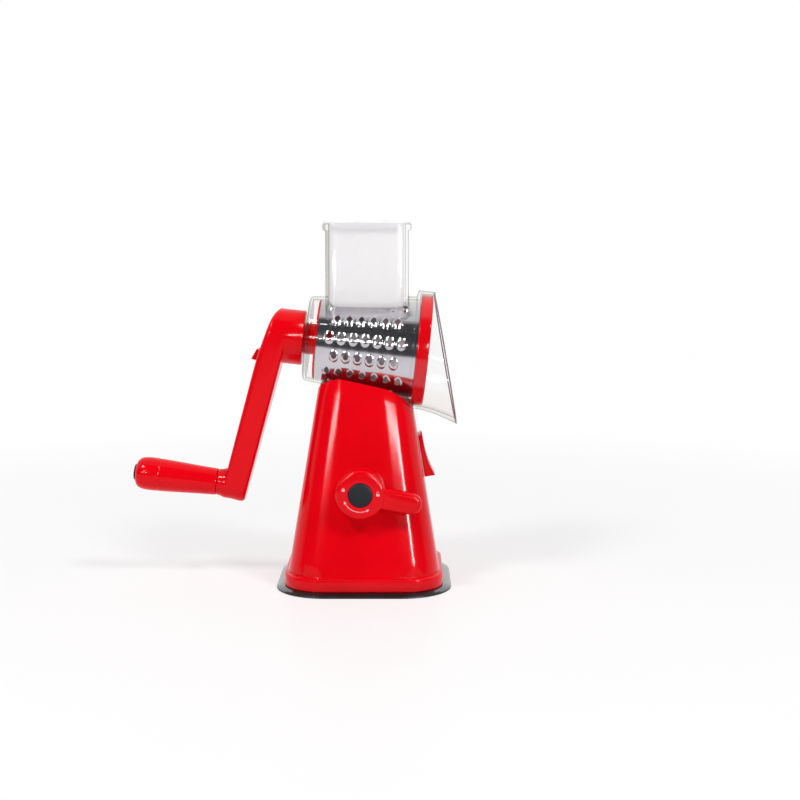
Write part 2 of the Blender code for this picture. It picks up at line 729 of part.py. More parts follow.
def tooth_cutters():
    """Diamond shaped holes in rows round the drum, seven and six by turns, as one cutter."""
    mesh = bmesh.new()
    for row in range(TOOTH_ROWS):
        count = 7 if row % 2 == 0 else 6
        turn = 2 * math.pi * (row + TOOTH_PHASE) / TOOTH_ROWS
        for index in range(count):
            station = TOOTH_MIDDLE + (index - (count - 1) / 2) * TOOTH_PITCH
            outward = Vector((math.cos(turn), math.sin(turn), 0.0))
            around = Vector((-math.sin(turn), math.cos(turn), 0.0))
            along = Vector((0.0, 0.0, 1.0))
            middle = outward * drum_outer(station) + along * station
            corners = (
                (0.5, 0.0), (0.2, 0.5), (-0.3, 0.5), (-0.5, 0.0), (-0.3, -0.5), (0.2, -0.5),
            )
            rows = []
            for depth in (-0.0030, 0.0030):
                ring = []
                for long_share, wide_share in corners:
                    point = middle + outward * depth + around * (long_share * TOOTH_LENGTH)
                    ring.append(mesh.verts.new(point + along * (wide_share * TOOTH_WIDTH)))
                rows.append(ring)
            mesh.faces.new(rows[0])
            mesh.faces.new(list(reversed(rows[1])))
            for corner in range(len(corners)):
                after = (corner + 1) % len(corners)
                mesh.faces.new((rows[0][corner], rows[0][after], rows[1][after], rows[1][corner]))
    return from_bmesh("tooth_holes", mesh, None, drum_axis)


def build_drum():
    sleeve_profile = [
        (drum_outer(DRUM_RIGHT) - DRUM_WALL, DRUM_RIGHT),
        (drum_outer(DRUM_RIGHT), DRUM_RIGHT),
        (drum_outer(DRUM_LEFT), DRUM_LEFT),
        (drum_outer(DRUM_LEFT) - DRUM_WALL, DRUM_LEFT),
    ]
    sleeve = turned("drum_sleeve", sleeve_profile, "steel", drum_axis, ring=True)
    combine(sleeve, tooth_cutters(), "DIFFERENCE")

    lip = drum_outer(DRUM_RIGHT) - DRUM_WALL - GAP
    ring_profile = [
        (0.0352, RING_END),
        (RING_RADIUS - 0.0010, RING_END),
        (RING_RADIUS, RING_END - 0.0010),
        (RING_RADIUS, RING_START + 0.0010),
        (RING_RADIUS - 0.0010, RING_START),
        (lip - 0.0003, RING_START),
        (lip - 0.0006, DRUM_RIGHT - 0.0050),
        (0.0338, DRUM_RIGHT - 0.0050),
        (0.0338, RING_START + 0.0020),
    ]
    turned("drum_ring", ring_profile, "red_plastic", drum_axis, ring=True, steps=48)

    back = -0.0384
    hub_profile = [
        (0.0, -0.0260),
        (BOSS_RADIUS, -0.0260),
        (BOSS_RADIUS, -0.0340),
        (0.0280, -0.0340),
        (0.0280, -0.0300),
        (0.0294, -0.0300),
        (0.0294, DRUM_LEFT - GAP),
        (0.0309, DRUM_LEFT - GAP),
        (0.0309, back + 0.0004),
        (0.0305, back),
        (BOSS_RADIUS, back),
        (BOSS_RADIUS, -0.0463),
        (0.0, -0.0463),
    ]
    hub = turned("drum_hub", hub_profile, "red_plastic", drum_axis)
    socket = disc("hub_socket", hexagon(SPIGOT_FLATS + 2 * GAP), -0.0500, -0.0200,
                  parent=drum_axis, steps=6)
    combine(hub, socket, "DIFFERENCE")


# ---------------------------------------------------------------- crank


ARM_DIRECTION = (ARM_BOTTOM - ARM_TOP).normalized()
ARM_LENGTH = (ARM_BOTTOM - ARM_TOP).length
ARM_LEAN = math.atan2(-ARM_DIRECTION.x, -ARM_DIRECTION.z)
arm_frame = frame("arm_frame", ARM_TOP, turn_y=ARM_LEAN)
grip_axis = frame("grip_axis", ARM_BOTTOM, turn_y=math.radians(90.0) + GRIP_TILT)


# Side view of the elbow: how far the outer face is drawn in, with a minus sign, and height.
ELBOW = (
    (0.0010, -0.0300), (-0.0001, -0.0260), (-0.0004, -0.0160), (-0.0010, -0.0080),
    (-0.0017, 0.0000), (-0.0024, 0.0075), (-0.0033, 0.0130), (-0.0045, 0.0170),
    (-0.0063, 0.0200), (-0.0090, 0.0222), (-0.0130, 0.0236),
)


def arm_outline():
    """A tapered capsule in the arm's plane, as (y, z), round at the hub and at the grip."""
    spread = math.asin((HUB_RADIUS - ARM_END_RADIUS) / ARM_LENGTH)
    points = []
    for index in range(17):
        angle = spread * -1 + (math.pi + 2 * spread) * index / 16
        points.append((HUB_RADIUS * math.cos(angle), HUB_RADIUS * math.sin(angle)))
    for index in range(11):
        angle = math.pi + spread + (math.pi - 2 * spread) * index / 10
        y = ARM_END_RADIUS * math.cos(angle)
        points.append((y, -ARM_LENGTH + ARM_END_RADIUS * math.sin(angle)))
    return points


def build_crank():
    half = ARM_THICK / 2
    crank = prism("crank_arm", arm_outline(), -half, half, "X", "red_plastic", arm_frame)
    # Seen from the side, the arm's outer face curves in towards the top of the hub.
    side = [(-half - drawn, z) for drawn, z in ELBOW]
    side += [(0.0400, 0.0240), (0.0400, -0.1500), (-0.0400, -0.1500), (-0.0400, ELBOW[0][1])]
    combine(crank, prism("arm_side", side, -0.0300, 0.0300, "Y", parent=arm_frame), "INTERSECT")
    round_edges(crank, ARM_ROUNDING, 3)
    slot_top = BUTTON_TOP + 0.0020
    slot_bottom = BUTTON_BOTTOM - BUTTON_TRAVEL - 0.0036
    slot = block("button_slot", (-half - 0.003, -0.0062, slot_bottom), (-half + 0.0065, 0.0062, slot_top),
                 parent=arm_frame)
    combine(crank, slot, "DIFFERENCE")
    hub_profile = [
        (0.0, HUB_FACE),
        (HUB_RADIUS - 0.0010, HUB_FACE),
        (HUB_RADIUS - 0.0002, HUB_FACE - 0.0010),
        (HUB_RADIUS - 0.0002, -0.0660),
        (0.0, -0.0660),
    ]
    combine(crank, turned("crank_hub", hub_profile, parent=drum_axis), "UNION")
    neck_profile = [
        (0.0, 0.0),
        (0.0122, 0.0),
        (0.0122, -0.0072),
        (0.0112, -0.0100),
        (0.0104, -0.0120),
        (0.0101, GRIP_INNER + GAP + 0.0004),
        (0.0097, GRIP_INNER + GAP),
        (0.0, GRIP_INNER + GAP),
    ]
    combine(crank, turned("grip_neck", neck_profile, parent=grip_axis, steps=32), "UNION")
    spigot_hole = disc("spigot_hole", hexagon(SPIGOT_FLATS + 2 * GAP), -0.0645, -0.0400,
                       parent=drum_axis, steps=6)
    combine(crank, spigot_hole, "DIFFERENCE")
    axle_hole = disc("axle_hole", 0.0042, -0.0200, 0.0043, parent=grip_axis, steps=24)
    combine(crank, axle_hole, "DIFFERENCE")

    spigot = disc("crank_spigot", hexagon(SPIGOT_FLATS), -0.0642, -0.0285, "steel", drum_axis,
                  steps=6)
    round_edges(spigot, 0.0008, 1, 70.0)

    button = block("crank_button", (-half - 0.0006, -0.0059, BUTTON_BOTTOM - 0.0006),
                   (-half + 0.0060, 0.0059, slot_top - GAP), "red_plastic", arm_frame)
    # The thumb piece is a wedge with its high end at the bottom.
    thumb_outline = [
        (-half + 0.0010, BUTTON_TOP), (-half - 0.0022, BUTTON_TOP), (-half - 0.0028, BUTTON_TOP - 0.0006),
        (-half - 0.0046, BUTTON_BOTTOM + 0.0008), (-half - 0.0043, BUTTON_BOTTOM),
        (-half + 0.0010, BUTTON_BOTTOM),
    ]
    thumb = prism("button_thumb", thumb_outline, -0.0050, 0.0050, "Y", parent=arm_frame)
    combine(button, thumb, "UNION")
    spring_frame = frame("button_spring_frame", (-half + 0.0030, 0.0, 0.0))
    spring_frame.parent = arm_frame
    coil("crank_button_spring", 0.0016, 0.0003, slot_bottom + GAP, BUTTON_BOTTOM - 0.0009, 4,
         "steel", spring_frame, points_per_turn=8)


def build_grip():
    grip_profile = [
        (0.0044, GRIP_INNER),
        (0.0098, GRIP_INNER),
        (0.0104, GRIP_INNER - 0.0006),
        (0.0111, -0.0300),
        (0.0123, -0.0500),
        (0.0129, -0.0650),
        (0.0128, -0.0705),
        (0.0120, -0.0748),
        (0.0104, -0.0776),
        (0.0082, -0.0792),
        (0.0063, GRIP_OUTER),
        (0.0063, -0.0715),
        (0.0044, -0.0715),
    ]
    turned("grip", grip_profile, "red_plastic", grip_axis, ring=True, steps=32)
    axle_profile = [
        (0.0, 0.0038),
        (0.0034, 0.0038),
        (0.0039, 0.0030),
        (0.0039, -0.0718),
        (0.0058, -0.0718),
        (0.0058, -0.0744),
        (0.0050, -0.0753),
        (0.0, -0.0753),
    ]
    turned("grip_axle", axle_profile, "steel", grip_axis, steps=32)
    cap_profile = [
        (0.0, -0.0756),
        (0.0060, -0.0756),
        (0.0060, GRIP_OUTER),
        (0.0054, GRIP_OUTER - 0.0005),
        (0.0, GRIP_OUTER - 0.0006),
    ]
    turned("grip_cap", cap_profile, "dark_plastic", grip_axis, steps=32)


build_base()
build_body()
build_stem()
build_cam_shaft()
build_lever()
build_latch()
build_hopper()
build_pusher()
build_drum()
build_crank()
build_grip()

for part in PARTS.objects:
    if part.type == "MESH":
        part.data.shade_smooth()
        part.data.set_sharp_from_angle(angle=math.radians(35.0))
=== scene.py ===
"""Rotary cheese grater: the finished look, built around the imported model."""
import math

import bmesh
import bpy
from mathutils import Matrix, Vector


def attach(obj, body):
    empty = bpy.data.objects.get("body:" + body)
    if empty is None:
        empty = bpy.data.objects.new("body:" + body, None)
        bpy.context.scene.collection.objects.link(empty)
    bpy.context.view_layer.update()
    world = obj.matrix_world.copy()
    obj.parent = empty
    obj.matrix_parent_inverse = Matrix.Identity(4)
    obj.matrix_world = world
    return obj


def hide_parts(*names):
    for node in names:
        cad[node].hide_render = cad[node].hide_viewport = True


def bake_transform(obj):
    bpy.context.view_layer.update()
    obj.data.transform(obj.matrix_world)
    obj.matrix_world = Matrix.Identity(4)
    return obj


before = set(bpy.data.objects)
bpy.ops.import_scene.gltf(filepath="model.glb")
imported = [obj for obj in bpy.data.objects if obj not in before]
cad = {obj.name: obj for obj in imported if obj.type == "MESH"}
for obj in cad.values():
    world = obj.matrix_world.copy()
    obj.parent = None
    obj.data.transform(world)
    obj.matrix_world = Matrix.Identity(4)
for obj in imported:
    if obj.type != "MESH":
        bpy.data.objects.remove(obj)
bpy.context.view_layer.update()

# ---------------------------------------------------------------- sizes shared with the model

TILT = math.radians(6.0)
AXIS_Z = 0.1845
PAD_HALF = 0.067
PAD_CORNER = 0.0387
PLINTH_HALF = 0.0608
PLINTH_CORNER = 0.031
BODY_LOW = 0.0142
BODY_LOW_HALF = 0.0576
BODY_HIGH = 0.1720
SLOPE_X = 0.163
SLOPE_Y = 0.181
LOW_CORNER = 0.029
HIGH_CORNER = 0.019
WALL = 0.0024
KNOB_X = -0.0019
KNOB_Z = 0.0770
KNOB_RADIUS = 0.0188
KNOB_BACK = 0.0508
KNOB_FRONT = 0.0613
LEVER_ANGLE = math.radians(11.0)
LEVER_REACH = 0.0384   # from the knob's middle to the middle of the arm's round end
LEVER_ROOT = 0.0110
LEVER_HALF = 0.0080
BARREL_LEFT = -0.0448
BARREL_RIGHT = 0.0365
BARREL_RADIUS = 0.0325
BARREL_SLOPE = math.tan(math.radians(5.9))
CLEAR_WALL = 0.0020
COLLAR_START = 0.0375
COLLAR_END = 0.0505
COLLAR_RADIUS = 0.0458
SADDLE_DROP = 0.0046
CHUTE_X = 0.0028
CHUTE_HALF = 0.0315
RIM_HALF = 0.03345
RIM_BOTTOM = 0.2722
RIM_TOP = 0.2770
DRUM_LEFT = -0.0357
DRUM_RIGHT = 0.0400
DRUM_RADIUS = 0.0306
DRUM_SLOPE = math.tan(math.radians(5.0))
TOOTH_ROWS = 14
TOOTH_PHASE = 0.15
TOOTH_PITCH = 0.0091
TOOTH_MIDDLE = 0.0011
HUB_RADIUS = 0.0213
BOSS_RADIUS = 0.0122
ARM_TOP = Vector((-0.0677, 0.0, 0.1917))
ARM_BOTTOM = Vector((-0.1002, 0.0, 0.0748))
ARM_HALF = 0.0094
ARM_END = 0.0122
ARM_ROUNDING = 0.0036
GRIP_TILT = math.radians(7.0)
BUTTON_TOP = -0.0142
BUTTON_BOTTOM = -0.0227
LATCH_Z = 0.0985
LATCH_HALF = 0.0164

ARM_LENGTH = (ARM_BOTTOM - ARM_TOP).length
ARM_LEAN = math.atan2(ARM_TOP.x - ARM_BOTTOM.x, ARM_TOP.z - ARM_BOTTOM.z)


def face_x(height):
    return BODY_LOW_HALF - SLOPE_X * (height - BODY_LOW)


def placed(location, turn, axis="Y"):
    return Matrix.Translation(location) @ Matrix.Rotation(turn, 4, axis)


DRUM = placed((0.0, 0.0, AXIS_Z), math.radians(90.0) + TILT)
GRIP = placed(ARM_BOTTOM, math.radians(90.0) + GRIP_TILT)
KNOB = placed((KNOB_X, 0.0, KNOB_Z), math.radians(90.0), "X")
ARM = placed(ARM_TOP, ARM_LEAN)
LATCH = placed((face_x(LATCH_Z), 0.0, LATCH_Z), -math.atan(SLOPE_X))

# ---------------------------------------------------------------- materials


def new_material(name):
    material = bpy.data.materials.new(name)
    material.use_nodes = True
    tree = material.node_tree
    tree.nodes.clear()
    output = tree.nodes.new("ShaderNodeOutputMaterial")
    return material, tree, output


def link(source, target):
    source.id_data.links.new(source, target)


def put(node, values):
    for name, value in values.items():
        node.inputs[name].default_value = value


def coordinates(tree, scale=(1, 1, 1), turn=(0, 0, 0)):
    source = tree.nodes.new("ShaderNodeTexCoord")
    mapping = tree.nodes.new("ShaderNodeMapping")
    put(mapping, {"Scale": scale, "Rotation": turn})
    link(source.outputs["Object"], mapping.inputs["Vector"])
    return mapping.outputs["Vector"]


def noise(tree, vector, scale, detail=3.0, roughness=0.5):
    node = tree.nodes.new("ShaderNodeTexNoise")
    put(node, {"Scale": scale, "Detail": detail, "Roughness": roughness})
    link(vector, node.inputs["Vector"])
    return node.outputs["Fac"]


def ramp(tree, factor, stops):
    node = tree.nodes.new("ShaderNodeValToRGB")
    elements = node.color_ramp.elements
    while len(elements) < len(stops):
        elements.new(0.5)
    for element, (position, colour) in zip(elements, stops):
        element.position = position
        element.color = (*colour, 1.0)
    link(factor, node.inputs["Fac"])
    return node.outputs["Color"]


def spread(tree, factor, low, high, start=0.3, end=0.7):
    node = tree.nodes.new("ShaderNodeMapRange")
    put(node, {"From Min": start, "From Max": end, "To Min": low, "To Max": high})
    link(factor, node.inputs["Value"])
    return node.outputs["Result"]


def along(tree, vector, direction):
    """How far a direction points along another."""
    node = tree.nodes.new("ShaderNodeVectorMath")
    node.operation = "DOT_PRODUCT"
    node.inputs[1].default_value = direction
    link(vector, node.inputs[0])
    return spread(tree, node.outputs["Value"], 0.0, 1.0, -1.0, 1.0)


def mixed(tree, share, first, second):
    node = tree.nodes.new("ShaderNodeMixShader")
    if isinstance(share, float):
        node.inputs["Fac"].default_value = share
    else:
        link(share, node.inputs["Fac"])
    link(first, node.inputs[1])
    link(second, node.inputs[2])
    return node.outputs["Shader"]


def bump(tree, height, strength, distance, before=None):
    node = tree.nodes.new("ShaderNodeBump")
    put(node, {"Strength": strength, "Distance": distance})
    link(height, node.inputs["Height"])
    if before:
        link(before, node.inputs["Normal"])
    return node.outputs["Normal"]


def solid(name, dark, light, rough, grain, depth, metallic=0.0, specular=0.5, coat=0.0,
          streaks=(60, 60, 220)):
    """A moulded or metal surface: clouded colour, uneven gloss, fine grain and faint scratches."""
    material, tree, output = new_material(name)
    shader = tree.nodes.new("ShaderNodeBsdfPrincipled")
    plain = coordinates(tree)
    clouds = noise(tree, plain, 25.0, 4.0)
    link(ramp(tree, clouds, [(0.35, dark), (0.65, light)]), shader.inputs["Base Color"])
    wear = noise(tree, coordinates(tree, streaks, (0.3, 0.5, 0.2)), 8.0, 6.0, 0.7)
    link(spread(tree, wear, rough[0], rough[1]), shader.inputs["Roughness"])
    waves = bump(tree, noise(tree, plain, 45.0, 2.0), 0.06, 0.0006)
    fine = bump(tree, noise(tree, plain, grain, 3.0), 0.25, depth, waves)
    link(fine, shader.inputs["Normal"])
    put(shader, {"Metallic": metallic, "Specular IOR Level": specular, "Coat Weight": coat,
                 "Coat IOR": 1.9, "Coat Roughness": 0.08})
    link(shader.outputs["BSDF"], output.inputs["Surface"])
    return material


RED = solid("red_gloss_plastic", (0.73, 0.0002, 0.0045), (0.81, 0.0003, 0.0068), (0.09, 0.16),
            900.0, 0.00002, specular=0.16)
RUBBER = solid("black_rubber", (0.004, 0.004, 0.005), (0.010, 0.010, 0.011), (0.26, 0.40),
               1400.0, 0.00003, specular=0.35)
# A lighter, glossier copy of the black rubber for the pad's top: its lighter colour is painted light.
RUBBER_PAINTED_LIT_TOP = solid("black_rubber_glossy_painted_lit_top", (0.012, 0.012, 0.014), (0.022, 0.022, 0.025), (0.12, 0.20),
                   1400.0, 0.00001, specular=0.7, coat=0.45)
DARK = solid("dark_cap_plastic", (0.008, 0.009, 0.013), (0.013, 0.015, 0.020), (0.38, 0.52),
             2200.0, 0.00003, specular=0.2)
GREY = solid("inner_grey_plastic", (0.30, 0.30, 0.31), (0.38, 0.38, 0.39), (0.45, 0.60),
             1200.0, 0.00003)
PRINT = solid("printed_marks", (0.72, 0.42, 0.45), (0.80, 0.52, 0.55), (0.45, 0.60),
              3000.0, 0.00001)
PLATED = solid("plated_steel", (0.55, 0.55, 0.57), (0.66, 0.66, 0.68), (0.18, 0.34),
               1800.0, 0.00001, metallic=1.0)
DRUM_STEEL = solid("drum_polished_steel", (0.60, 0.59, 0.61), (0.70, 0.69, 0.71), (0.10, 0.16),
                   2600.0, 0.000004, metallic=1.0, streaks=(500, 8, 8))
# A darker copy of the drum steel for the sleeve's inner face: the darker colour is painted shade inside the
# drum.
DRUM_STEEL_PAINTED_SHADE_INSIDE = solid("drum_steel_inside_painted_shade", (0.30, 0.29, 0.31), (0.40, 0.39, 0.41), (0.34, 0.48),
                    2600.0, 0.000004, metallic=1.0, streaks=(500, 8, 8))
# Opaque dark mauve for the guard's edge bead: painted shade, not a coloured plastic.
EDGE_BEAD_PAINTED_SHADE = solid("guard_edge_bead_painted_shade", (0.20, 0.115, 0.14), (0.27, 0.16, 0.19), (0.20, 0.30),
             1500.0, 0.00001)


def clear_material():
    """Clear moulded plastic: light passes straight through, and the edges darken with painted shade that
    stands in for refraction.
    """
    material, tree, output = new_material("clear_moulded_plastic")
    plain = coordinates(tree)
    through = tree.nodes.new("ShaderNodeBsdfTransparent")
    facing = tree.nodes.new("ShaderNodeLayerWeight")
    facing.inputs["Blend"].default_value = 0.5
    # Transmission darkens towards grazing angles: painted shade standing in for the dark edges that
    # refraction gives clear plastic.
    painted_grazing_shade = ramp(tree, facing.outputs["Facing"], [
        (0.0, (0.992, 0.994, 0.993)), (0.62, (0.975, 0.977, 0.970)),
        (0.82, (0.86, 0.86, 0.84)), (0.94, (0.52, 0.50, 0.47)), (1.0, (0.20, 0.16, 0.16)),
    ])
    link(painted_grazing_shade, through.inputs["Color"])
    gloss = tree.nodes.new("ShaderNodeBsdfPrincipled")
    put(gloss, {"Base Color": (0.92, 0.92, 0.93, 1.0), "Metallic": 1.0})
    wear = noise(tree, plain, 260.0, 5.0, 0.7)
    link(spread(tree, wear, 0.03, 0.10), gloss.inputs["Roughness"])
    link(bump(tree, noise(tree, plain, 60.0, 2.0), 0.12, 0.0005), gloss.inputs["Normal"])
    share = ramp(tree, facing.outputs["Facing"], [
        (0.0, (0.016, 0.016, 0.016)), (0.70, (0.045, 0.045, 0.045)), (1.0, (0.36, 0.36, 0.36)),
    ])
    link(mixed(tree, share, through.outputs["BSDF"], gloss.outputs["BSDF"]), output.inputs["Surface"])
    return material


def milky_material():
    """Translucent white plastic: mostly solid, with a faint painted glow standing in for the soft light
    inside it.
    """
    material, tree, output = new_material("milky_plastic")
    plain = coordinates(tree)
    shader = tree.nodes.new("ShaderNodeBsdfPrincipled")
    clouds = noise(tree, plain, 30.0, 3.0)
    link(ramp(tree, clouds, [(0.35, (0.94, 0.915, 0.925)), (0.65, (0.97, 0.95, 0.96))]),
         shader.inputs["Base Color"])
    link(spread(tree, noise(tree, plain, 150.0, 5.0), 0.26, 0.40), shader.inputs["Roughness"])
    link(bump(tree, noise(tree, plain, 1500.0, 2.0), 0.2, 0.00002), shader.inputs["Normal"])
    # The faint emission is a painted glow standing in for light that passes through the plastic.
    put(shader, {"Subsurface Weight": 0.35, "Subsurface Radius": (0.010, 0.010, 0.011),
                 "Emission Color": (1.0, 0.985, 1.0, 1.0), "Emission Strength": 0.10})
    through = tree.nodes.new("ShaderNodeBsdfTransparent")
    through.inputs["Color"].default_value = (0.95, 0.95, 0.96, 1.0)
    link(mixed(tree, 0.55, through.outputs["BSDF"], shader.outputs["BSDF"]), output.inputs["Surface"])
    return material


CLEAR = clear_material()
MILKY = milky_material()

# ---------------------------------------------------------------- mesh helpers


def placed_object(name, data):
    obj = bpy.data.objects.new(name, data)
    bpy.context.scene.collection.objects.link(obj)
    return obj


def make(name, verts, faces, material=None, matrix=None, sharp=38.0):
    """An object from vertices and faces in a local frame, placed in the model's frame."""
    data = bpy.data.meshes.new(name)
    data.from_pydata([tuple(v) for v in verts], [], faces)
    mesh = bmesh.new()
    mesh.from_mesh(data)
    bmesh.ops.remove_doubles(mesh, verts=mesh.verts, dist=1e-7)
    bmesh.ops.recalc_face_normals(mesh, faces=mesh.faces)
    if matrix is not None:
        bmesh.ops.transform(mesh, matrix=matrix, verts=mesh.verts)
    mesh.to_mesh(data)
    mesh.free()
    obj = placed_object(name, data)
    if material:
        data.materials.append(material)
    soften(obj, sharp)
    return obj


def soften(obj, sharp=38.0):
    obj.data.shade_smooth()
    obj.data.set_sharp_from_angle(angle=math.radians(sharp))
    return obj


def lathe(profile, steps=96, ring=False):
    """Vertices and faces of a (radius, z) profile turned about Z."""
    verts, rows = [], []
    for radius, z in profile:
        if radius < 1e-6:
            rows.append([len(verts)] * steps)
            verts.append((0.0, 0.0, z))
        else:
            rows.append(list(range(len(verts), len(verts) + steps)))
            for i in range(steps):
                angle = 2 * math.pi * i / steps
                verts.append((radius * math.cos(angle), radius * math.sin(angle), z))
    pairs = list(zip(rows, rows[1:])) + ([(rows[-1], rows[0])] if ring else [])
    faces = []
    for low, high in pairs:
        for i in range(steps):
            j = (i + 1) % steps
            corners = [low[i], low[j], high[j], high[i]]
            corners = [c for n, c in enumerate(corners) if c not in corners[:n]]
            if len(corners) > 2:
                faces.append(corners)
    return verts, faces


def skin(rings, caps=True):
    """Vertices and faces through closed rings of equal length."""
    count = len(rings[0])
    verts = [point for ring in rings for point in ring]
    faces = []
    for row in range(len(rings) - 1):
        for i in range(count):
            j = (i + 1) % count
            a, b = row * count, (row + 1) * count
            faces.append([a + i, a + j, b + j, b + i])
    if caps:
        faces.append(list(range(count))[::-1])
        faces.append(list(range((len(rings) - 1) * count, len(rings) * count)))
    return verts, faces


def rounded(half_x, half_y, corner, z=None, per_corner=8, per_side=6, middle=(0.0, 0.0)):
    """Points of a rounded rectangle, anticlockwise, with its sides divided too."""
    points = []
    for sign_x, sign_y, start in ((1, 1, 0), (-1, 1, 90), (-1, -1, 180), (1, -1, 270)):
        centre = Vector((sign_x * (half_x - corner), sign_y * (half_y - corner)))
        arc = []
        for i in range(per_corner + 1):
            angle = math.radians(start + 90.0 * i / per_corner)
            arc.append(centre + Vector((math.cos(angle), math.sin(angle))) * corner)
        if points:
            points += [points[-1].lerp(arc[0], i / per_side) for i in range(1, per_side)]
        points += arc
    points += [points[-1].lerp(points[0], i / per_side) for i in range(1, per_side)]
    points = [(p.x + middle[0], p.y + middle[1]) for p in points]
    return points if z is None else [(x, y, z) for x, y in points]


def curve_through(points, per_span=5):
    """More points on a smooth curve through the given ones."""
    out = []
    for i in range(len(points) - 1):
        p0 = Vector(points[max(i - 1, 0)])
        p1, p2 = Vector(points[i]), Vector(points[i + 1])
        p3 = Vector(points[min(i + 2, len(points) - 1)])
        for k in range(per_span):
            t = k / per_span
            out.append(tuple(0.5 * (2 * p1 + (p2 - p0) * t + (2 * p0 - 5 * p1 + 4 * p2 - p3) * t * t
                                    + (3 * p1 - p0 - 3 * p2 + p3) * t ** 3)))
    return out + [tuple(points[-1])]


def extruded(outline, low, high, axis):
    """A flat outline pushed along X, Y or Z."""
    def point(first, second, depth):
        return {"X": (depth, first, second), "Y": (first, depth, second),
                "Z": (first, second, depth)}[axis]
    return skin([[point(a, b, depth) for a, b in outline] for depth in (low, high)])


def bevel(obj, width, segments=3, limit=35.0):
    step = obj.modifiers.new("rounding", "BEVEL")
    step.width = width
    step.segments = segments
    step.limit_method = "ANGLE"
    step.angle_limit = math.radians(limit)
    step.harden_normals = False
    return obj


def cut(obj, tools):
    """Applies a chain of (operation, tool object) Boolean steps and removes the tools."""
    for operation, tool in tools:
        step = obj.modifiers.new(operation, "BOOLEAN")
        step.operation = operation
        step.object = tool
        step.solver = "EXACT"
    bake(obj)
    for _, tool in tools:
        bpy.data.objects.remove(tool, do_unlink=True)
    return obj


def bake(obj):
    bpy.context.view_layer.update()
    graph = bpy.context.evaluated_depsgraph_get()
    data = bpy.data.meshes.new_from_object(obj.evaluated_get(graph))
    obj.modifiers.clear()
    obj.data = data
    return obj


def finished(obj, body, slot, *replaced):
    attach(obj, body)
    if replaced:
        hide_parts(*replaced)
    return obj


# ---------------------------------------------------------------- pedestal


def barrel_outer(station):
    return BARREL_RADIUS + BARREL_SLOPE * (station - BARREL_LEFT)


def outside_saddle(x, y, z, extra):
    """How far a point is outside the saddle's cone."""
    station = x * math.cos(TILT) - (z - AXIS_Z) * math.sin(TILT)
    away = math.hypot(y, x * math.sin(TILT) + (z - AXIS_Z) * math.cos(TILT))
    radius = barrel_outer(station) + SADDLE_DROP
    if station > COLLAR_START - 0.0010:
        radius = COLLAR_RADIUS + 0.0006
    return away - radius - extra


def meet_saddle(point_at, low, high, extra):
    for _ in range(40):
        middle = (low + high) / 2
        if outside_saddle(*point_at(middle), extra) > 0:
            low = middle
        else:
            high = middle
    return low


def body_ring(z, inset):
    share = (z - BODY_LOW) / (BODY_HIGH - BODY_LOW)
    corner = LOW_CORNER + (HIGH_CORNER - LOW_CORNER) * share - inset
    half_x = BODY_LOW_HALF - SLOPE_X * (z - BODY_LOW) - inset
    half_y = BODY_LOW_HALF - SLOPE_Y * (z - BODY_LOW) - inset
    return rounded(half_x, half_y, corner, z, 10, 8)


def pedestal_side(inset, foot):
    """Rings from the foot to the saddle, then across the saddle to its middle."""
    rings = [rounded(h - inset, h - inset, PLINTH_CORNER - inset, z, 10, 8) for h, z in foot]
    low_ring = body_ring(BODY_LOW, inset)
    high_ring = body_ring(BODY_HIGH, inset)
    tops = []
    for low, high in zip(low_ring, high_ring):
        start, end = Vector(low), Vector(high)
        share = meet_saddle(lambda t: start.lerp(end, t), 0.4, 1.12, inset)
        tops.append((start, start.lerp(end, share)))
    for row in range(15):
        rings.append([tuple(a.lerp(b, row / 14)) for a, b in tops])
    for share in (0.955, 0.88, 0.76, 0.62, 0.46, 0.30, 0.14):
        ring = []
        for _, top in tops:
            x, y = top.x * share, top.y * share
            z = meet_saddle(lambda t: (x, y, t), 0.10, AXIS_Z - 0.005, inset)
            ring.append((x, y, z))
        rings.append(ring)
    return rings


def make_pedestal():
    foot = [(PLINTH_HALF, 0.0034), (PLINTH_HALF, 0.0112), (PLINTH_HALF - 0.0002, 0.0121),
            (PLINTH_HALF - 0.0008, 0.0127), (PLINTH_HALF - 0.0017, 0.0129),
            (BODY_LOW_HALF + 0.0009, 0.0131), (BODY_LOW_HALF + 0.0003, 0.0135)]
    outer = pedestal_side(0.0, foot)
    inner = pedestal_side(WALL, [(PLINTH_HALF, 0.0034), (PLINTH_HALF, 0.0110)])
    verts, faces = skin(inner[::-1] + outer, caps=True)
    obj = make("pedestal", verts, faces, RED)
    bevel(obj, 0.0011, 3, 40.0)
    bake(obj)
    boss = make("boss", *lathe([(0.0, 0.030), (KNOB_RADIUS, 0.030), (KNOB_RADIUS, KNOB_BACK - 0.0010),
                                (KNOB_RADIUS - 0.0006, KNOB_BACK - 0.0003), (0.0, KNOB_BACK - 0.0003)], 96),
                matrix=KNOB)
    cut(obj, [("UNION", boss)])
    soften(obj, 30.0)
    return finished(obj, "base", "red_plastic", "body_shell")


def make_pad():
    half, corner = PAD_HALF, PAD_CORNER
    rows = [(-0.0030, 0.0014), (-0.0012, 0.0002), (-0.0006, 0.0), (-0.0001, 0.0003), (0.0, 0.0008),
            (-0.0003, 0.0013), (-0.0018, 0.0019), (-0.0036, 0.0026), (-0.0044, 0.0030), (-0.0052, 0.0031)]
    rings = [rounded(half + d, half + d, corner + d, z, 12, 8) for d, z in rows]
    obj = make("suction_pad_skin", *skin(rings), RUBBER, sharp=50.0)
    obj.data.materials.append(RUBBER_PAINTED_LIT_TOP)
    # Top faces behind the front strip take the lighter copy as painted light; the front strip keeps the
    # darker rubber as painted shade.
    for face in obj.data.polygons:
        face.material_index = 1 if face.normal.z > 0.8 and face.center.y > -0.053 else 0
    return finished(obj, "base", "black_rubber", "suction_pad")


# ---------------------------------------------------------------- hopper and pusher


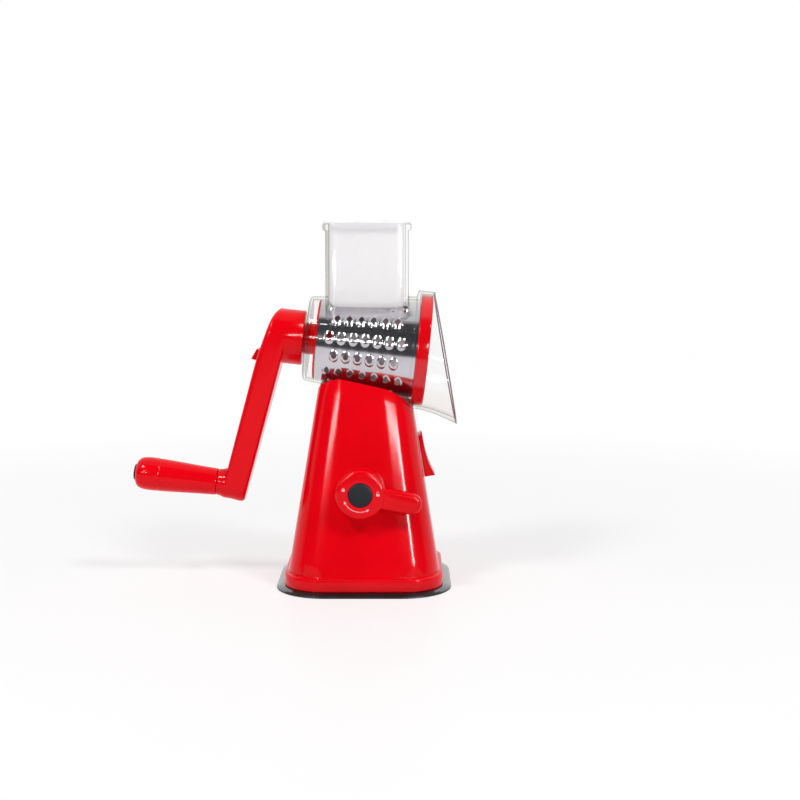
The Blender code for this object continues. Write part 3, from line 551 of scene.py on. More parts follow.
def spout_rings(inset, start, past, count=96):
    top = Vector((0.0545, 0.0, 0.2247))
    tip = Vector((0.0718, 0.0, 0.1225))
    rim_up = (top - tip).normalized()
    rim_middle = (top + tip) / 2
    rim_tall = (top - tip).length / 2 - inset
    rim_wide = 0.0475 - inset
    axis = Vector((math.cos(TILT), 0.0, -math.sin(TILT)))
    axis_up = Vector((math.sin(TILT), 0.0, math.cos(TILT)))
    start_middle = Vector((0.0, 0.0, AXIS_Z)) + axis * start
    start_radius = COLLAR_RADIUS - 0.0001 - inset
    rings = []
    for share in (0.0, 0.15, 0.3, 0.45, 0.6, 0.75, 0.88, 1.0):
        flare = share ** 1.4
        ring = []
        for i in range(count):
            angle = 2 * math.pi * i / count
            near = start_middle + axis_up * (start_radius * math.sin(angle))
            far = rim_middle + rim_up * (rim_tall * math.sin(angle))
            point = near.lerp(far, share)
            level = near.dot(axis_up) * (1 - flare) + far.dot(axis_up) * flare
            point += axis_up * (level - point.dot(axis_up))
            point.y = (start_radius + (rim_wide - start_radius) * flare) * math.cos(angle)
            ring.append(point + axis * (past * share))
        rings.append(ring)
    if past:
        rings.insert(0, [point - axis * 0.004 for point in rings[0]])
    return rings


def box_rings(half, corner, levels, middle=(CHUTE_X, 0.0)):
    return [rounded(half + d, half + d, corner + d, z, 8, 4, middle) for d, z in levels]


def make_hopper():
    top_outer = barrel_outer(BARREL_RIGHT)
    shell = [(0.0, COLLAR_END), (COLLAR_RADIUS, COLLAR_END), (COLLAR_RADIUS, COLLAR_START + 0.0006),
             (COLLAR_RADIUS - 0.0006, COLLAR_START), (top_outer, BARREL_RIGHT),
             (barrel_outer(BARREL_LEFT + 0.0020), BARREL_LEFT + 0.0020),
             (barrel_outer(BARREL_LEFT) - 0.0003, BARREL_LEFT + 0.0011),
             (barrel_outer(BARREL_LEFT) - 0.0010, BARREL_LEFT + 0.0004),
             (barrel_outer(BARREL_LEFT) - 0.0020, BARREL_LEFT), (0.0, BARREL_LEFT)]
    hopper = make("hopper_clear", *lathe(shell, 128), CLEAR, DRUM)
    inside = [(0.0, COLLAR_END + 0.002), (COLLAR_RADIUS - 0.0022, COLLAR_END + 0.002),
              (COLLAR_RADIUS - 0.0022, COLLAR_START + CLEAR_WALL),
              (barrel_outer(COLLAR_START) - CLEAR_WALL, COLLAR_START + CLEAR_WALL),
              (barrel_outer(BARREL_LEFT + 0.0022) - CLEAR_WALL, BARREL_LEFT + 0.0022),
              (0.0, BARREL_LEFT + 0.0022)]
    chute = box_rings(CHUTE_HALF, 0.0090, [(0.0, AXIS_Z + 0.004), (0.0, RIM_BOTTOM + 0.001)])
    rim = box_rings(RIM_HALF, 0.0110, [(-0.0012, RIM_BOTTOM - 0.0004), (-0.0002, RIM_BOTTOM + 0.0004),
                                       (0.0, RIM_BOTTOM + 0.0010), (0.0, RIM_TOP - 0.0008),
                                       (-0.0003, RIM_TOP - 0.0002), (-0.0009, RIM_TOP)])
    hollow = box_rings(CHUTE_HALF - 0.0022, 0.0068, [(0.0, AXIS_Z + 0.006), (0.0, RIM_TOP + 0.002)])
    foot_cone = [(0.0, 0.041), (barrel_outer(0.041) + SADDLE_DROP - 0.0003, 0.041),
                 (barrel_outer(-0.036) + SADDLE_DROP - 0.0003, -0.036), (0.0, -0.036)]
    foot = make("foot", *lathe(foot_cone, 128), matrix=DRUM)
    area = [rounded(0.0330, 0.0265, 0.006, z, 6, 2, (0.0015, 0.0)) for z in (0.125, 0.172)]
    cut(foot, [("INTERSECT", make("area", *skin(area)))])
    tab_outline = rounded(0.0080, 0.0110, 0.0025, None, 5, 2, (0.0, 0.0280))
    tab = make("tab", *extruded(tab_outline, 0.0003, 0.0019, "X"), matrix=LATCH)
    bearing = [(0.0, BARREL_LEFT - 0.002), (0.0126, BARREL_LEFT - 0.002), (0.0126, BARREL_LEFT + 0.005),
               (0.0, BARREL_LEFT + 0.005)]
    bearing_turn = DRUM @ Matrix.Rotation(0.03, 4, "Z")
    tools = [
        ("UNION", make("spout", *skin(spout_rings(0.0, COLLAR_END - 0.003, 0.0)))),
        ("UNION", make("chute", *skin(chute))),
        ("UNION", make("rim", *skin(rim))),
        ("UNION", foot),
        ("UNION", tab),
        ("DIFFERENCE", make("inside", *lathe(inside, 128), matrix=DRUM)),
        ("DIFFERENCE", make("spout_in", *skin(spout_rings(0.0020, COLLAR_END - 0.001, 0.004)))),
        ("DIFFERENCE", make("hollow", *skin(hollow))),
        ("DIFFERENCE", make("bearing", *lathe(bearing, 72), matrix=bearing_turn)),
    ]
    cut(hopper, tools)
    soften(hopper, 32.0)
    return finished(hopper, "base", "clear_plastic", "hopper")


def tube_along(points, wire, closed=True, sides=8):
    """Vertices and faces of a thin tube along a line of points."""
    rings, count = [], len(points)
    for i, point in enumerate(points):
        before = points[i - 1] if closed or i else point
        after = points[(i + 1) % count] if closed or i < count - 1 else point
        along = (after - before).normalized()
        helper = Vector((0.0, 1.0, 0.0)) if abs(along.y) < 0.9 else Vector((1.0, 0.0, 0.0))
        side = along.cross(helper).normalized()
        over = along.cross(side)
        rings.append([point + side * (wire * math.cos(a)) + over * (wire * math.sin(a))
                      for a in (2 * math.pi * k / sides for k in range(sides))])
    if closed:
        rings.append(rings[0])
    return skin(rings, caps=not closed)


def make_guard_edge():
    """The bead on the guard's free edge, coloured dark all round: painted shade standing in for the dark line
    the clear edge shows where it is seen edge on.
    """
    line = spout_rings(0.0008, COLLAR_END, -0.0006, 120)[-1]
    obj = make("guard_edge", *tube_along(line, 0.0005), EDGE_BEAD_PAINTED_SHADE, sharp=80.0)
    return finished(obj, "base", "clear_plastic", "hopper")


def make_chute_bead():
    """The rounded bead where the chute runs into the barrel."""
    line = []
    for x, y in rounded(CHUTE_HALF, CHUTE_HALF, 0.0090, None, 10, 10, (CHUTE_X, 0.0)):
        low, high = AXIS_Z, AXIS_Z + 0.06
        for _ in range(40):
            z = (low + high) / 2
            station = x * math.cos(TILT) - (z - AXIS_Z) * math.sin(TILT)
            away = math.hypot(y, x * math.sin(TILT) + (z - AXIS_Z) * math.cos(TILT))
            low, high = (z, high) if away < barrel_outer(station) else (low, z)
        line.append(Vector((x, y, z)))
    obj = make("chute_bead", *tube_along(line, 0.0006), CLEAR, sharp=80.0)
    return finished(obj, "base", "clear_plastic", "hopper")


def make_pusher():
    half, low = 0.0281, 0.2140
    rounding = 0.0056
    levels = []
    for i in range(6):
        angle = math.radians(90.0 * i / 5)
        levels.append((-rounding * (1 - math.sin(angle)), low + rounding * (1 - math.cos(angle))))
    levels += [(0.0, 0.2440), (0.0, 0.2785)]
    pusher = make("pusher_cup_piece", *skin(box_rings(half, 0.0060, levels)), MILKY)
    lip = box_rings(RIM_HALF, 0.0110, [(-0.0008, 0.2773), (0.0, 0.2777), (0.0, 0.2789), (-0.0003, 0.2793),
                                       (-0.0009, 0.2794)])
    inner = box_rings(half - 0.0020, 0.0040, [(0.0, 0.2160), (0.0, 0.2814)])
    floor = [(0.0, -0.06), (0.0398, -0.06), (0.0398, 0.06), (0.0, 0.06)]
    arch = [(0.0, -0.06), (0.0378, -0.06), (0.0378, 0.06), (0.0, 0.06)]
    hollow = make("hollow", *skin(inner))
    cut(hollow, [("DIFFERENCE", make("floor", *lathe(floor, 128), matrix=DRUM))])
    cut(pusher, [("UNION", make("lip", *skin(lip))),
                 ("DIFFERENCE", make("arch", *lathe(arch, 128), matrix=DRUM)),
                 ("DIFFERENCE", hollow)])
    soften(pusher, 32.0)
    return finished(pusher, "pusher", "milky_plastic", "pusher")


# ---------------------------------------------------------------- drum

TEETH_IN_ROW = (7, 6)   # rows take turns
CELL_LONG = 6    # segments across a tooth's cell, along the drum's axis
CELL_ROUND = 8   # segments round the drum
MEAN_RADIUS = 0.034
SHEET = 0.0006
TOOTH_HEIGHT = 0.0013


def drum_point(station, turn, height):
    radius = DRUM_RADIUS + DRUM_SLOPE * (station - DRUM_LEFT) + height
    return DRUM @ Vector((radius * math.cos(turn), radius * math.sin(turn), station))


def tooth_outline(angle, scale):
    """Teardrop about a tooth's middle, as (along the axis, round the drum), with its point up."""
    up = math.sin(angle)
    wide = 0.0038 * math.cos(angle) * (1.0 - 0.30 * max(up, 0.0) ** 1.5)
    long = 0.0053 * up * (1.08 if up > 0 else 0.92)
    return wide * scale, long * scale


def make_sleeve():
    """The steel sleeve: a sheet with a raised, open tooth in each cell, then given thickness."""
    verts, faces, index = [], [], {}
    row_turn = 2 * math.pi / TOOTH_ROWS
    grid_step = TOOTH_PITCH / CELL_LONG
    half_cells = TEETH_IN_ROW[0] * CELL_LONG // 2

    def station_of(j):
        if abs(j) <= half_cells:
            return TOOTH_MIDDLE + j * grid_step
        over = (abs(j) - half_cells) / 3
        end = DRUM_RIGHT if j > 0 else DRUM_LEFT
        edge = TOOTH_MIDDLE + math.copysign(half_cells * grid_step, j)
        return edge + (end - edge) * over

    def grid(j, k):
        k %= TOOTH_ROWS * CELL_ROUND
        if (j, k) not in index:
            index[j, k] = len(verts)
            turn = row_turn * (TOOTH_PHASE - 0.5 + k / CELL_ROUND)
            verts.append(drum_point(station_of(j), turn, 0.0))
        return index[j, k]

    def quad(j, k):
        faces.append([grid(j, k), grid(j + 1, k), grid(j + 1, k + 1), grid(j, k + 1)])

    levels = ((1.08, 0.0), (1.01, 0.01), (0.97, 0.12), (0.90, 0.42), (0.81, 0.74), (0.72, 0.94),
              (0.60, 1.0), (0.555, 0.96), (0.545, 0.62))
    for row in range(TOOTH_ROWS):
        count = TEETH_IN_ROW[row % 2]
        k0 = row * CELL_ROUND
        turn = row_turn * (row + TOOTH_PHASE)
        first = -count * CELL_LONG // 2
        for j in range(-half_cells - 3, half_cells + 3):
            if not first <= j < -first:
                for k in range(k0, k0 + CELL_ROUND):
                    quad(j, k)
        for cell in range(count):
            j0 = first + cell * CELL_LONG
            station = TOOTH_MIDDLE + (j0 + CELL_LONG / 2) * grid_step
            rim = [(j0 + i, k0) for i in range(CELL_LONG)]
            rim += [(j0 + CELL_LONG, k0 + i) for i in range(CELL_ROUND)]
            rim += [(j0 + CELL_LONG - i, k0 + CELL_ROUND) for i in range(CELL_LONG)]
            rim += [(j0, k0 + CELL_ROUND - i) for i in range(CELL_ROUND)]
            before = [grid(*corner) for corner in rim]
            angles = []
            for j, k in rim:
                along = (j - j0 - CELL_LONG / 2) / CELL_LONG * TOOTH_PITCH
                # Turning on goes down at the front, so the drum's own turn counts the other way.
                around = -(k - k0 - CELL_ROUND / 2) / CELL_ROUND * row_turn * MEAN_RADIUS
                angles.append(math.atan2(-around, along))
            for scale, lift in levels:
                ring = []
                for angle in angles:
                    wide, long = tooth_outline(-angle, scale)
                    share = 0.58 + 0.42 * math.sin(angle)
                    shift = 0.0011 * max(1.0 - scale, 0.0) / 0.42
                    radius = DRUM_RADIUS + DRUM_SLOPE * (station - DRUM_LEFT)
                    ring.append(len(verts))
                    verts.append(drum_point(station + wide, turn - (long + shift) / radius,
                                            TOOTH_HEIGHT * lift * share))
                size = len(ring)
                for i in range(size):
                    n = (i + 1) % size
                    faces.append([before[i], before[n], ring[n], ring[i]])
                before = ring
    sleeve = make("drum_sleeve_steel", verts, faces, DRUM_STEEL, sharp=50.0)
    mesh = bmesh.new()
    mesh.from_mesh(sleeve.data)
    axis_point = DRUM.translation
    axis = (DRUM.to_3x3() @ Vector((0, 0, 1))).normalized()
    outward = 0.0
    for face in mesh.faces:
        middle = face.calc_center_median() - axis_point
        outward += face.normal.dot(middle - axis * middle.dot(axis)) * face.calc_area()
    if outward < 0:
        bmesh.ops.reverse_faces(mesh, faces=mesh.faces)
    mesh.to_mesh(sleeve.data)
    mesh.free()
    thick = sleeve.modifiers.new("sheet", "SOLIDIFY")
    thick.thickness = SHEET
    thick.offset = -1.0
    # The inner face takes the darker copy of the steel as painted shade.
    sleeve.data.materials.append(DRUM_STEEL_PAINTED_SHADE_INSIDE)
    thick.material_offset = 1
    thick.material_offset_rim = 0
    bake(sleeve)
    soften(sleeve, 50.0)
    return finished(sleeve, "drum", "polished_steel", "drum_sleeve")


def make_ring():
    lip = DRUM_RADIUS + DRUM_SLOPE * (DRUM_RIGHT - DRUM_LEFT) - 0.0012
    profile = [(0.0352, 0.0494), (0.0417, 0.0494), (0.0422, 0.0492), (0.0426, 0.0488), (0.0427, 0.0482),
               (0.0427, 0.0415), (0.0426, 0.0409), (0.0422, 0.0405), (0.0417, 0.0403),
               (lip - 0.0003, 0.0403), (lip - 0.0006, 0.0350), (0.0338, 0.0350), (0.0338, 0.0423),
               (0.0340, 0.0430)]
    obj = make("drum_ring_red", *lathe(profile, 128, ring=True), RED, DRUM)
    return finished(obj, "drum", "red_plastic", "drum_ring")


def make_hub():
    profile = [(0.0, -0.0260), (0.0114, -0.0260), (BOSS_RADIUS - 0.0002, -0.0264), (BOSS_RADIUS, -0.0270),
               (BOSS_RADIUS, -0.0340), (0.0280, -0.0340), (0.0280, -0.0300), (0.0294, -0.0300),
               (0.0294, -0.0360), (0.0306, -0.0360), (0.0308, -0.0362), (0.0308, -0.0369),
               (0.0305, -0.0373), (0.0128, -0.0384), (BOSS_RADIUS, -0.0390), (BOSS_RADIUS, -0.0459),
               (BOSS_RADIUS - 0.0004, -0.0463), (0.0, -0.0463)]
    obj = make("drum_hub_red", *lathe(profile, 96), RED, DRUM)
    return finished(obj, "drum", "red_plastic", "drum_hub")


# ---------------------------------------------------------------- crank

# Side view of the elbow: height along the arm and how far the outer face is drawn in.
ELBOW = ((-0.0300, 0.0), (-0.0240, 0.0001), (-0.0160, 0.0004), (-0.0080, 0.0010), (0.0, 0.0017),
         (0.0075, 0.0024), (0.0130, 0.0033), (0.0170, 0.0045), (0.0200, 0.0063), (0.0213, 0.0078))


def drawn_in(z):
    if z <= ELBOW[0][0]:
        return 0.0
    for (z0, d0), (z1, d1) in zip(ELBOW, ELBOW[1:]):
        if z <= z1:
            return d0 + (d1 - d0) * (z - z0) / (z1 - z0)
    return ELBOW[-1][1]


def arm_half_width(z):
    lean = (HUB_RADIUS - ARM_END) / ARM_LENGTH
    if z > -HUB_RADIUS * lean:
        return math.sqrt(max(HUB_RADIUS ** 2 - z * z, 0.0))
    if z < -ARM_LENGTH - ARM_END * lean:
        return math.sqrt(max(ARM_END ** 2 - (z + ARM_LENGTH) ** 2, 0.0))
    return (HUB_RADIUS + lean * z) / math.sqrt(1 - lean * lean)


def arm_ring(z):
    wide = max(arm_half_width(z), 0.0016)
    ends = (z + ARM_LENGTH + ARM_END, HUB_RADIUS - z)
    drawn = 0.0
    for room in ends:
        if room < ARM_ROUNDING:
            drawn = max(drawn, ARM_ROUNDING - math.sqrt(ARM_ROUNDING ** 2 - (ARM_ROUNDING - room) ** 2))
    outer, inner = -ARM_HALF + max(drawn_in(z), drawn), ARM_HALF - drawn
    half = (inner - outer) / 2
    corner = min(ARM_ROUNDING, wide * 0.9, half * 0.9)
    return [(x, y, z) for x, y in rounded(half, wide, corner, None, 6, 5, ((inner + outer) / 2, 0.0))]


def make_crank():
    heights = [HUB_RADIUS * math.cos(math.radians(a)) for a in range(4, 91, 6)]
    heights += [-ARM_LENGTH * i / 22 for i in range(1, 22)]
    heights += [-ARM_LENGTH - ARM_END * math.sin(math.radians(a)) for a in range(0, 86, 6)]
    arm = make("crank_arm_red", *skin([arm_ring(z) for z in heights]), RED, ARM)
    radius = HUB_RADIUS - 0.0002
    hub = lathe([(0.0, -0.0467), (radius - 0.0012, -0.0467), (radius - 0.0004, -0.0469),
                 (radius, -0.0476), (radius, -0.0640), (0.0, -0.0640)], 128)
    neck = lathe([(0.0, 0.0), (0.0118, 0.0), (0.0118, -0.0060), (0.0116, -0.0088), (0.0110, -0.0106),
                  (0.0105, -0.0122), (0.0102, -0.0140), (0.0101, -0.0146), (0.0098, -0.0149),
                  (0.0, -0.0149)], 96)
    slot_outline = rounded(0.0062, 0.0084, 0.0012, None, 4, 2, (0.0, -0.0207))
    slot = extruded(slot_outline, -ARM_HALF - 0.003, -ARM_HALF + 0.0065, "X")
    tools = [
        ("UNION", make("hub", *hub, matrix=DRUM)),
        ("UNION", make("neck", *neck, matrix=GRIP)),
        ("DIFFERENCE", make("slot", *slot, matrix=ARM)),
    ]
    cut(arm, tools)
    soften(arm, 40.0)
    return finished(arm, "crank", "red_plastic", "crank_arm")


def make_button():
    x = -ARM_HALF
    outline = [(x + 0.0060, BUTTON_TOP + 0.0017), (x - 0.0006, BUTTON_TOP + 0.0017),
               (x - 0.0006, BUTTON_TOP), (x - 0.0022, BUTTON_TOP), (x - 0.0028, BUTTON_TOP - 0.0006)]
    for i in range(4):
        share = (i + 0.5) / 4
        z = BUTTON_TOP - 0.0006 + (BUTTON_BOTTOM - BUTTON_TOP + 0.0014) * share
        out = x - 0.0028 - 0.0018 * share
        outline += [(out, z + 0.0006), (out + 0.0003, z + 0.0003), (out + 0.0003, z - 0.0003),
                    (out, z - 0.0006)]
    outline += [(x - 0.0046, BUTTON_BOTTOM + 0.0006), (x - 0.0043, BUTTON_BOTTOM),
                (x - 0.0006, BUTTON_BOTTOM), (x - 0.0006, BUTTON_BOTTOM - 0.0006),
                (x + 0.0060, BUTTON_BOTTOM - 0.0006)]
    obj = make("release_slider", *extruded(outline, -0.0050, 0.0050, "Y"), RED, ARM)
    bevel(obj, 0.00025, 2, 40.0)
    return finished(obj, "crank_button", "red_plastic", "crank_button")


def make_grip():
    outside = curve_through([(0.0104, -0.0158), (0.0111, -0.0300), (0.0123, -0.0500), (0.0129, -0.0640),
                             (0.0128, -0.0705), (0.0120, -0.0747), (0.0104, -0.0772), (0.0083, -0.0785),
                             (0.0067, -0.0789)], 7)
    grooved = []
    for radius, z in outside:
        grooved.append((radius - 0.00018 * math.exp(-((z + 0.0604) / 0.00045) ** 2), z))
    groove = [(0.01270 - (0.00016 if abs(d) < 0.0003 else 0.0), -0.0604 - d) for d in
              (-0.0006, -0.0003, 0.0, 0.0003, 0.0006)]
    joined = sorted(grooved + groove, key=lambda p: -p[1])
    joined = [p for n, p in enumerate(joined) if n == 0 or joined[n - 1][1] - p[1] > 0.00012]
    profile = [(0.0044, -0.0152), (0.0098, -0.0152), (0.0102, -0.0154)] + joined
    profile += [(0.0063, -0.0790), (0.0063, -0.0715), (0.0044, -0.0715)]
    obj = make("turning_grip", *lathe(profile, 96, ring=True), RED, GRIP, sharp=55.0)
    return finished(obj, "grip", "red_plastic", "grip")


def make_grip_cap():
    profile = [(0.0, -0.0756), (0.0061, -0.0756), (0.0061, -0.0797), (0.0059, -0.0801),
               (0.0054, -0.0803), (0.0040, -0.0804), (0.0, -0.0804)]
    obj = make("grip_end_cap", *lathe(profile, 72), DARK, GRIP)
    return finished(obj, "grip", "dark_plastic", "grip_cap")


# ---------------------------------------------------------------- locking knob


def make_lever():
    radius = KNOB_RADIUS
    profile = [(0.0, KNOB_FRONT), (radius - 0.0034, KNOB_FRONT), (radius - 0.0022, KNOB_FRONT - 0.0002),
               (radius - 0.0012, KNOB_FRONT - 0.0008), (radius - 0.0005, KNOB_FRONT - 0.0018),
               (radius - 0.0001, KNOB_FRONT - 0.0032), (radius, KNOB_FRONT - 0.0046),
               (radius, KNOB_BACK + 0.0006), (radius - 0.0006, KNOB_BACK), (0.0, KNOB_BACK)]
    knob = make("locking_lever", *lathe(profile, 128), RED, KNOB)
    # The arm is a long pill whose top is domed across its width.
    rings = []
    levels = [(KNOB_BACK + up, drawn) for up, drawn in ((0.0010, 0.0008), (0.0016, 0.0001), (0.0024, 0.0))]
    levels += [(KNOB_FRONT - down, drawn) for down, drawn in (
        (0.0040, 0.0), (0.0030, 0.0003), (0.0021, 0.0010), (0.0015, 0.0020), (0.0012, 0.0034))]
    for depth, drawn in levels:
        half = LEVER_HALF - drawn
        ring = []
        for i in range(25):
            angle = math.radians(-90.0 + 180.0 * i / 24)
            ring.append((LEVER_REACH + half * math.cos(angle), half * math.sin(angle)))
        for i in range(1, 10):
            ring.append((LEVER_REACH + (LEVER_ROOT - LEVER_REACH) * i / 9, half))
        for i in range(0, 9):
            ring.append((LEVER_ROOT + (LEVER_REACH - LEVER_ROOT) * i / 9, -half))
        turn = Matrix.Rotation(-LEVER_ANGLE, 2)
        rings.append([(*(turn @ Vector(p)), depth) for p in ring])
    arm = make("arm", *skin(rings), matrix=KNOB)
    recess = lathe([(0.0, KNOB_FRONT - 0.0014), (0.00935, KNOB_FRONT - 0.0014), (0.00935, KNOB_FRONT + 0.002),
                    (0.0, KNOB_FRONT + 0.002)], 96)
    cut(knob, [("UNION", arm), ("DIFFERENCE", make("recess", *recess, matrix=KNOB))])
    soften(knob, 32.0)
    return finished(knob, "lever", "red_plastic", "lever")


def make_cap():
    profile = [(0.0, KNOB_FRONT + 0.0004), (0.0078, KNOB_FRONT + 0.00038), (0.0086, KNOB_FRONT + 0.0002),
               (0.00895, KNOB_FRONT - 0.0001), (0.00905, KNOB_FRONT - 0.0005), (0.00905, KNOB_FRONT - 0.0012),
               (0.0, KNOB_FRONT - 0.0012)]
    obj = make("lever_end_cap", *lathe(profile, 96), DARK, KNOB)
    return finished(obj, "lever", "dark_plastic", "lever_cap")


def arc(radius, start, end, count):
    steps = [math.radians(start + (end - start) * i / count) for i in range(count + 1)]
    return [(radius * math.cos(a), radius * math.sin(a)) for a in steps]


def padlock(lift):
    """Outlines of a small padlock about its own middle, with the shackle lifted when open."""
    body = rounded(0.00115, 0.00080, 0.00020, None, 3, 1, (0.0, -0.0005))
    outer, inner = 0.00084, 0.00056
    top = 0.0004 + lift
    shackle = [(-outer, 0.0003)] + [(x, y + top) for x, y in arc(outer, 180, 0, 10)]
    shackle += [(outer, 0.0003 + lift)] + [(inner, 0.0003 + lift)]
    shackle += [(x, y + top) for x, y in arc(inner, 0, 180, 10)] + [(-inner, 0.0003)]
    return [body, shackle]


def make_marks():
    """Printed marks on the knob: an arrow both ways, a closed padlock and an open one."""
    shapes = []
    radius, half = 0.0126, 0.00022
    shapes.append(arc(radius + half, 212, 291, 22) + arc(radius - half, 291, 212, 22))
    for angle, way in ((205.5, -1), (297.5, 1)):
        at = math.radians(angle)
        tip = Vector((radius * math.cos(at), radius * math.sin(at)))
        along = Vector((-math.sin(at), math.cos(at))) * way
        across = Vector((math.cos(at), math.sin(at)))
        shapes.append([tuple(tip + along * 0.0012), tuple(tip - along * 0.0011 + across * 0.00105),
                       tuple(tip - along * 0.0011 - across * 0.00105)])
    for angle, lift in ((161.0, 0.0), (3.0, 0.00085)):
        at = math.radians(angle)
        centre = Vector((0.0132 * math.cos(at), 0.0132 * math.sin(at)))
        for outline in padlock(lift):
            shapes.append([(centre.x + x, centre.y + y) for x, y in outline])
    verts, faces = [], []
    for outline in shapes:
        v, f = extruded(outline, KNOB_FRONT - 0.00003, KNOB_FRONT + 0.00008, "Z")
        faces += [[i + len(verts) for i in face] for face in f]
        verts += v
    obj = make("knob_marks", verts, faces, PRINT, KNOB)
    return finished(obj, "lever", "dark_plastic")


# ---------------------------------------------------------------- catch


def latch_thickness(z):
    share = (LATCH_HALF - z) / (2 * LATCH_HALF)
    return 0.0036 + 0.0048 * share ** 2.8


def make_latch():
    outline = [(0.0003, -LATCH_HALF)]
    for i in range(65):
        z = -LATCH_HALF + 2 * LATCH_HALF * i / 64
        ridge = 0.00022 * math.sin(2 * math.pi * z / 0.0026) if -0.0130 < z < 0.0026 else 0.0
        outline.append((0.0003 + latch_thickness(z) - 0.00022 + ridge, z))
    outline.append((0.0003, LATCH_HALF))
    latch = make("hopper_catch", *extruded(outline, -0.0110, 0.0110, "Y"), RED, LATCH)
    bevel(latch, 0.0007, 3, 50.0)
    bake(latch)
    finger_ring = rounded(0.0068, 0.0028, 0.0012, None, 4, 1, (0.0, 0.0148))
    finger = extruded(finger_ring, 0.0022, 0.0036, "X")
    cut(latch, [("UNION", make("finger", *finger, matrix=LATCH))])
    soften(latch, 35.0)
    return finished(latch, "latch", "red_plastic", "latch")


def coil_mesh(radius, wire, low, high, turns, sides=8, per_turn=18):
    rings = []
    count = turns * per_turn
    for i in range(count + 1):
        share = i / count
        angle = 2 * math.pi * turns * share
        centre = Vector((radius * math.cos(angle), radius * math.sin(angle),
                         low + wire + (high - low - 2 * wire) * share))
        out = Vector((math.cos(angle), math.sin(angle), 0.0))
        rings.append([centre + out * (wire * math.cos(a)) + Vector((0, 0, wire * math.sin(a)))
                      for a in (2 * math.pi * k / sides for k in range(sides))])
    return skin(rings)


def make_spring(name, radius, wire, turns, matrix, low, high, node):
    obj = make(name, *coil_mesh(radius, wire, low, high, turns), PLATED, matrix)
    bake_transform(obj)
    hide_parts(node)
    return obj


# ---------------------------------------------------------------- everything in place

make_pedestal()
make_pad()
make_hopper()
make_guard_edge()
make_chute_bead()
make_pusher()
make_sleeve()
make_ring()
make_hub()
make_crank()
make_button()
make_grip()
make_grip_cap()
make_lever()
make_cap()
make_marks()
make_latch()
make_spring("catch_spring", 0.0022, 0.00035, 6, LATCH @ Matrix.Translation((-0.0062, 0.0, 0.0)),
            -0.0259, -0.0108, "latch_spring")
make_spring("slider_spring", 0.0016, 0.0003, 4, ARM @ Matrix.Translation((-0.0064, 0.0, 0.0)),
            -0.0295, -0.0236, "crank_button_spring")

KEPT = {
    "base_plate": GREY, "suction_stem": GREY, "cam_shaft": GREY, "latch_keeper": GREY,
    "shaft_bush": DARK, "shaft_clip": PLATED, "lever_screw": PLATED, "crank_spigot": PLATED,
    "grip_axle": PLATED, "base_screw_1": PLATED, "base_screw_2": PLATED, "base_screw_3": PLATED,
    "base_screw_4": PLATED,
}
for node_name, node_material in KEPT.items():
    for material_slot in cad[node_name].material_slots:
        material_slot.material = node_material

# ---------------------------------------------------------------- stage, light and camera


def make_stage():
    """A wide pale table, which turns pure white away from the object like the room round it. Glossy rays see
    a painted look instead, dark in front and pale behind: painted shade and light for reflections only.
    """
    steps = [-6.0, -3.0, -1.5, -0.8, -0.4, 0.0, 0.4, 0.8, 1.5, 3.0, 6.0]
    verts = [(x, y, 0.0) for y in steps for x in steps]
    count = len(steps)
    faces = [[i + j * count, i + 1 + j * count, i + 1 + (j + 1) * count, i + (j + 1) * count]
             for j in range(count - 1) for i in range(count - 1)]
    material, tree, output = new_material("pale_table")
    shader = tree.nodes.new("ShaderNodeBsdfPrincipled")
    plain = coordinates(tree)
    patches = ramp(tree, noise(tree, plain, 3.0, 3.0),
                   [(0.3, (0.93, 0.925, 0.925)), (0.7, (0.955, 0.95, 0.95))])
    link(patches, shader.inputs["Base Color"])
    link(spread(tree, noise(tree, plain, 30.0, 4.0), 0.40, 0.48), shader.inputs["Roughness"])
    shader.inputs["Specular IOR Level"].default_value = 0.2
    glow = tree.nodes.new("ShaderNodeEmission")
    put(glow, {"Color": (1.0, 0.995, 0.995, 1.0), "Strength": 1.0})
    away = tree.nodes.new("ShaderNodeVectorMath")
    away.operation = "LENGTH"
    link(plain, away.inputs[0])
    table = mixed(tree, spread(tree, away.outputs["Value"], 0.6, 1.0, 0.28, 0.85),
                  shader.outputs["BSDF"], glow.outputs["Emission"])
    split = tree.nodes.new("ShaderNodeSeparateXYZ")
    link(plain, split.inputs["Vector"])
    # For glossy rays the table shows a painted reflection: dark in front, pale behind.
    painted_reflection_table = tree.nodes.new("ShaderNodeEmission")
    painted_reflection_look = [(0.0, (0.030, 0.030, 0.034)), (0.27, (0.060, 0.060, 0.066)),
                     (0.46, (0.86, 0.82, 0.86)), (1.0, (0.96, 0.92, 0.96))]
    nearness = spread(tree, split.outputs["Y"], 0.0, 1.0, -1.2, 0.0)
    link(ramp(tree, nearness, painted_reflection_look), painted_reflection_table.inputs["Color"])
    path = tree.nodes.new("ShaderNodeLightPath")
    link(mixed(tree, path.outputs["Is Glossy Ray"], table, painted_reflection_table.outputs["Emission"]),
         output.inputs["Surface"])
    data = bpy.data.meshes.new("stage")
    data.from_pydata(verts, [], faces)
    data.materials.append(material)
    data.shade_smooth()
    placed_object("stage", data)


def area_light(name, location, size, strength, aim=(0.0, 0.0, 0.12), roll=0.0):
    data = bpy.data.lights.new(name, "AREA")
    data.shape = "RECTANGLE"
    data.size, data.size_y = size
    data.energy = strength * size[0] * size[1] * math.pi
    light = placed_object(name, data)
    light.location = location
    facing = (Vector(aim) - Vector(location)).to_track_quat("-Z", "Y").to_matrix()
    light.rotation_euler = (facing @ Matrix.Rotation(math.radians(roll), 3, "Z")).to_euler()
    return light


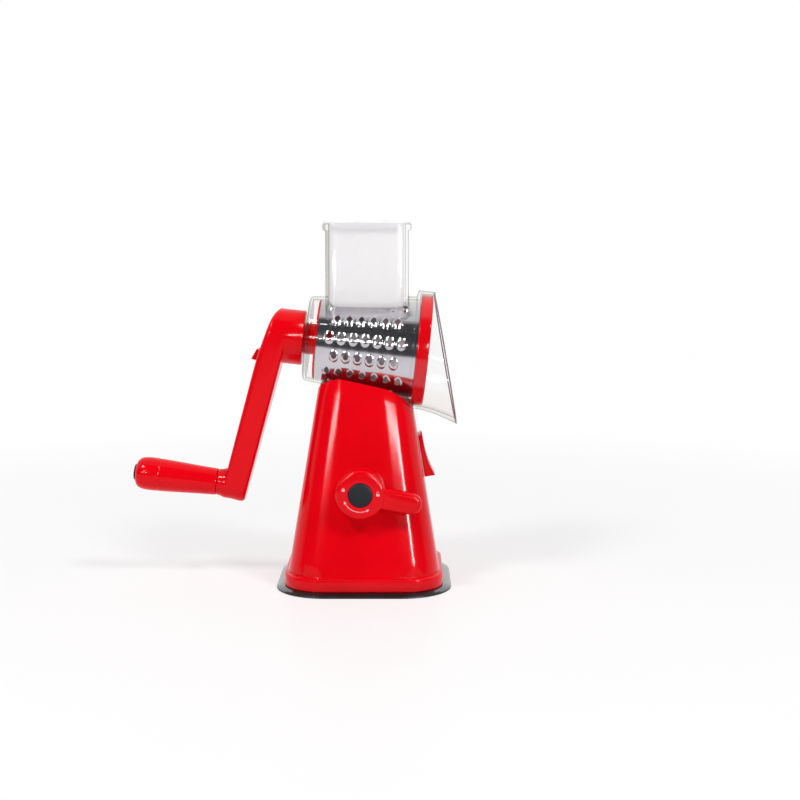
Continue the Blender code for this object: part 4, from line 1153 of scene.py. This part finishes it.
make_stage()
SHINE_LIGHTS = [
    area_light("right_strip", (1.00, -1.10, 0.33), (0.12, 0.34), 85.0, roll=8.0),
    area_light("right_bar", (0.62, -1.30, 0.485), (0.86, 0.06), 72.0, roll=-3.0),
    area_light("left_bar", (-0.70, -1.26, 0.485), (0.56, 0.07), 46.0, roll=10.0),
    area_light("left_glow", (-0.64, -1.32, 0.66), (0.20, 0.50), 6.0),
]
for shine in SHINE_LIGHTS:
    shine.visible_diffuse = False
area_light("key_left", (-1.05, -1.05, 1.85), (0.42, 0.42), 40.0)
area_light("key_right", (1.05, -1.05, 1.85), (0.42, 0.42), 40.0)


def make_world():
    """A soft white dome, which glossy surfaces see as a room that is dark in front and pale above."""
    world = bpy.data.worlds.new("studio")
    bpy.context.scene.world = world
    world.use_nodes = True
    world.cycles.sampling_method = "NONE"
    tree = world.node_tree
    tree.nodes.clear()
    output = tree.nodes.new("ShaderNodeOutputWorld")
    source = tree.nodes.new("ShaderNodeTexCoord")
    room = tree.nodes.new("ShaderNodeBackground")
    room_look = [(0.0, (0.030, 0.030, 0.033)), (0.46, (0.050, 0.050, 0.055)), (0.56, (0.72, 0.72, 0.74)),
                 (1.0, (0.95, 0.95, 0.96))]
    link(ramp(tree, along(tree, source.outputs["Generated"], (0.0, 1.0, 0.35)), room_look),
         room.inputs["Color"])
    dome = tree.nodes.new("ShaderNodeBackground")
    dome_look = [(0.60, (0.26, 0.26, 0.262)), (0.78, (0.85, 0.85, 0.86))]
    link(ramp(tree, along(tree, source.outputs["Generated"], (0.0, 1.0, -0.25)), dome_look),
         dome.inputs["Color"])
    path = tree.nodes.new("ShaderNodeLightPath")
    lit = mixed(tree, path.outputs["Is Glossy Ray"], dome.outputs["Background"], room.outputs["Background"])
    around = tree.nodes.new("ShaderNodeBackground")
    around.inputs["Color"].default_value = (1.0, 1.0, 1.0, 1)
    link(mixed(tree, path.outputs["Is Camera Ray"], lit, around.outputs["Background"]),
         output.inputs["Surface"])


make_world()
bpy.context.scene.view_settings.view_transform = "Standard"

CAMERA_PLACE = (0.02765, -1.082, 0.267)
CAMERA_DOWN = 6.64   # degrees below level

camera_data = bpy.data.cameras.new("camera")
camera_data.lens = 63.0
camera_data.sensor_width = 36.0
camera_data.clip_start = 0.01
camera = placed_object("camera", camera_data)
camera.location = CAMERA_PLACE
camera.rotation_euler = (math.radians(90.0 - CAMERA_DOWN), 0.0, 0.0)
bpy.context.scene.camera = camera
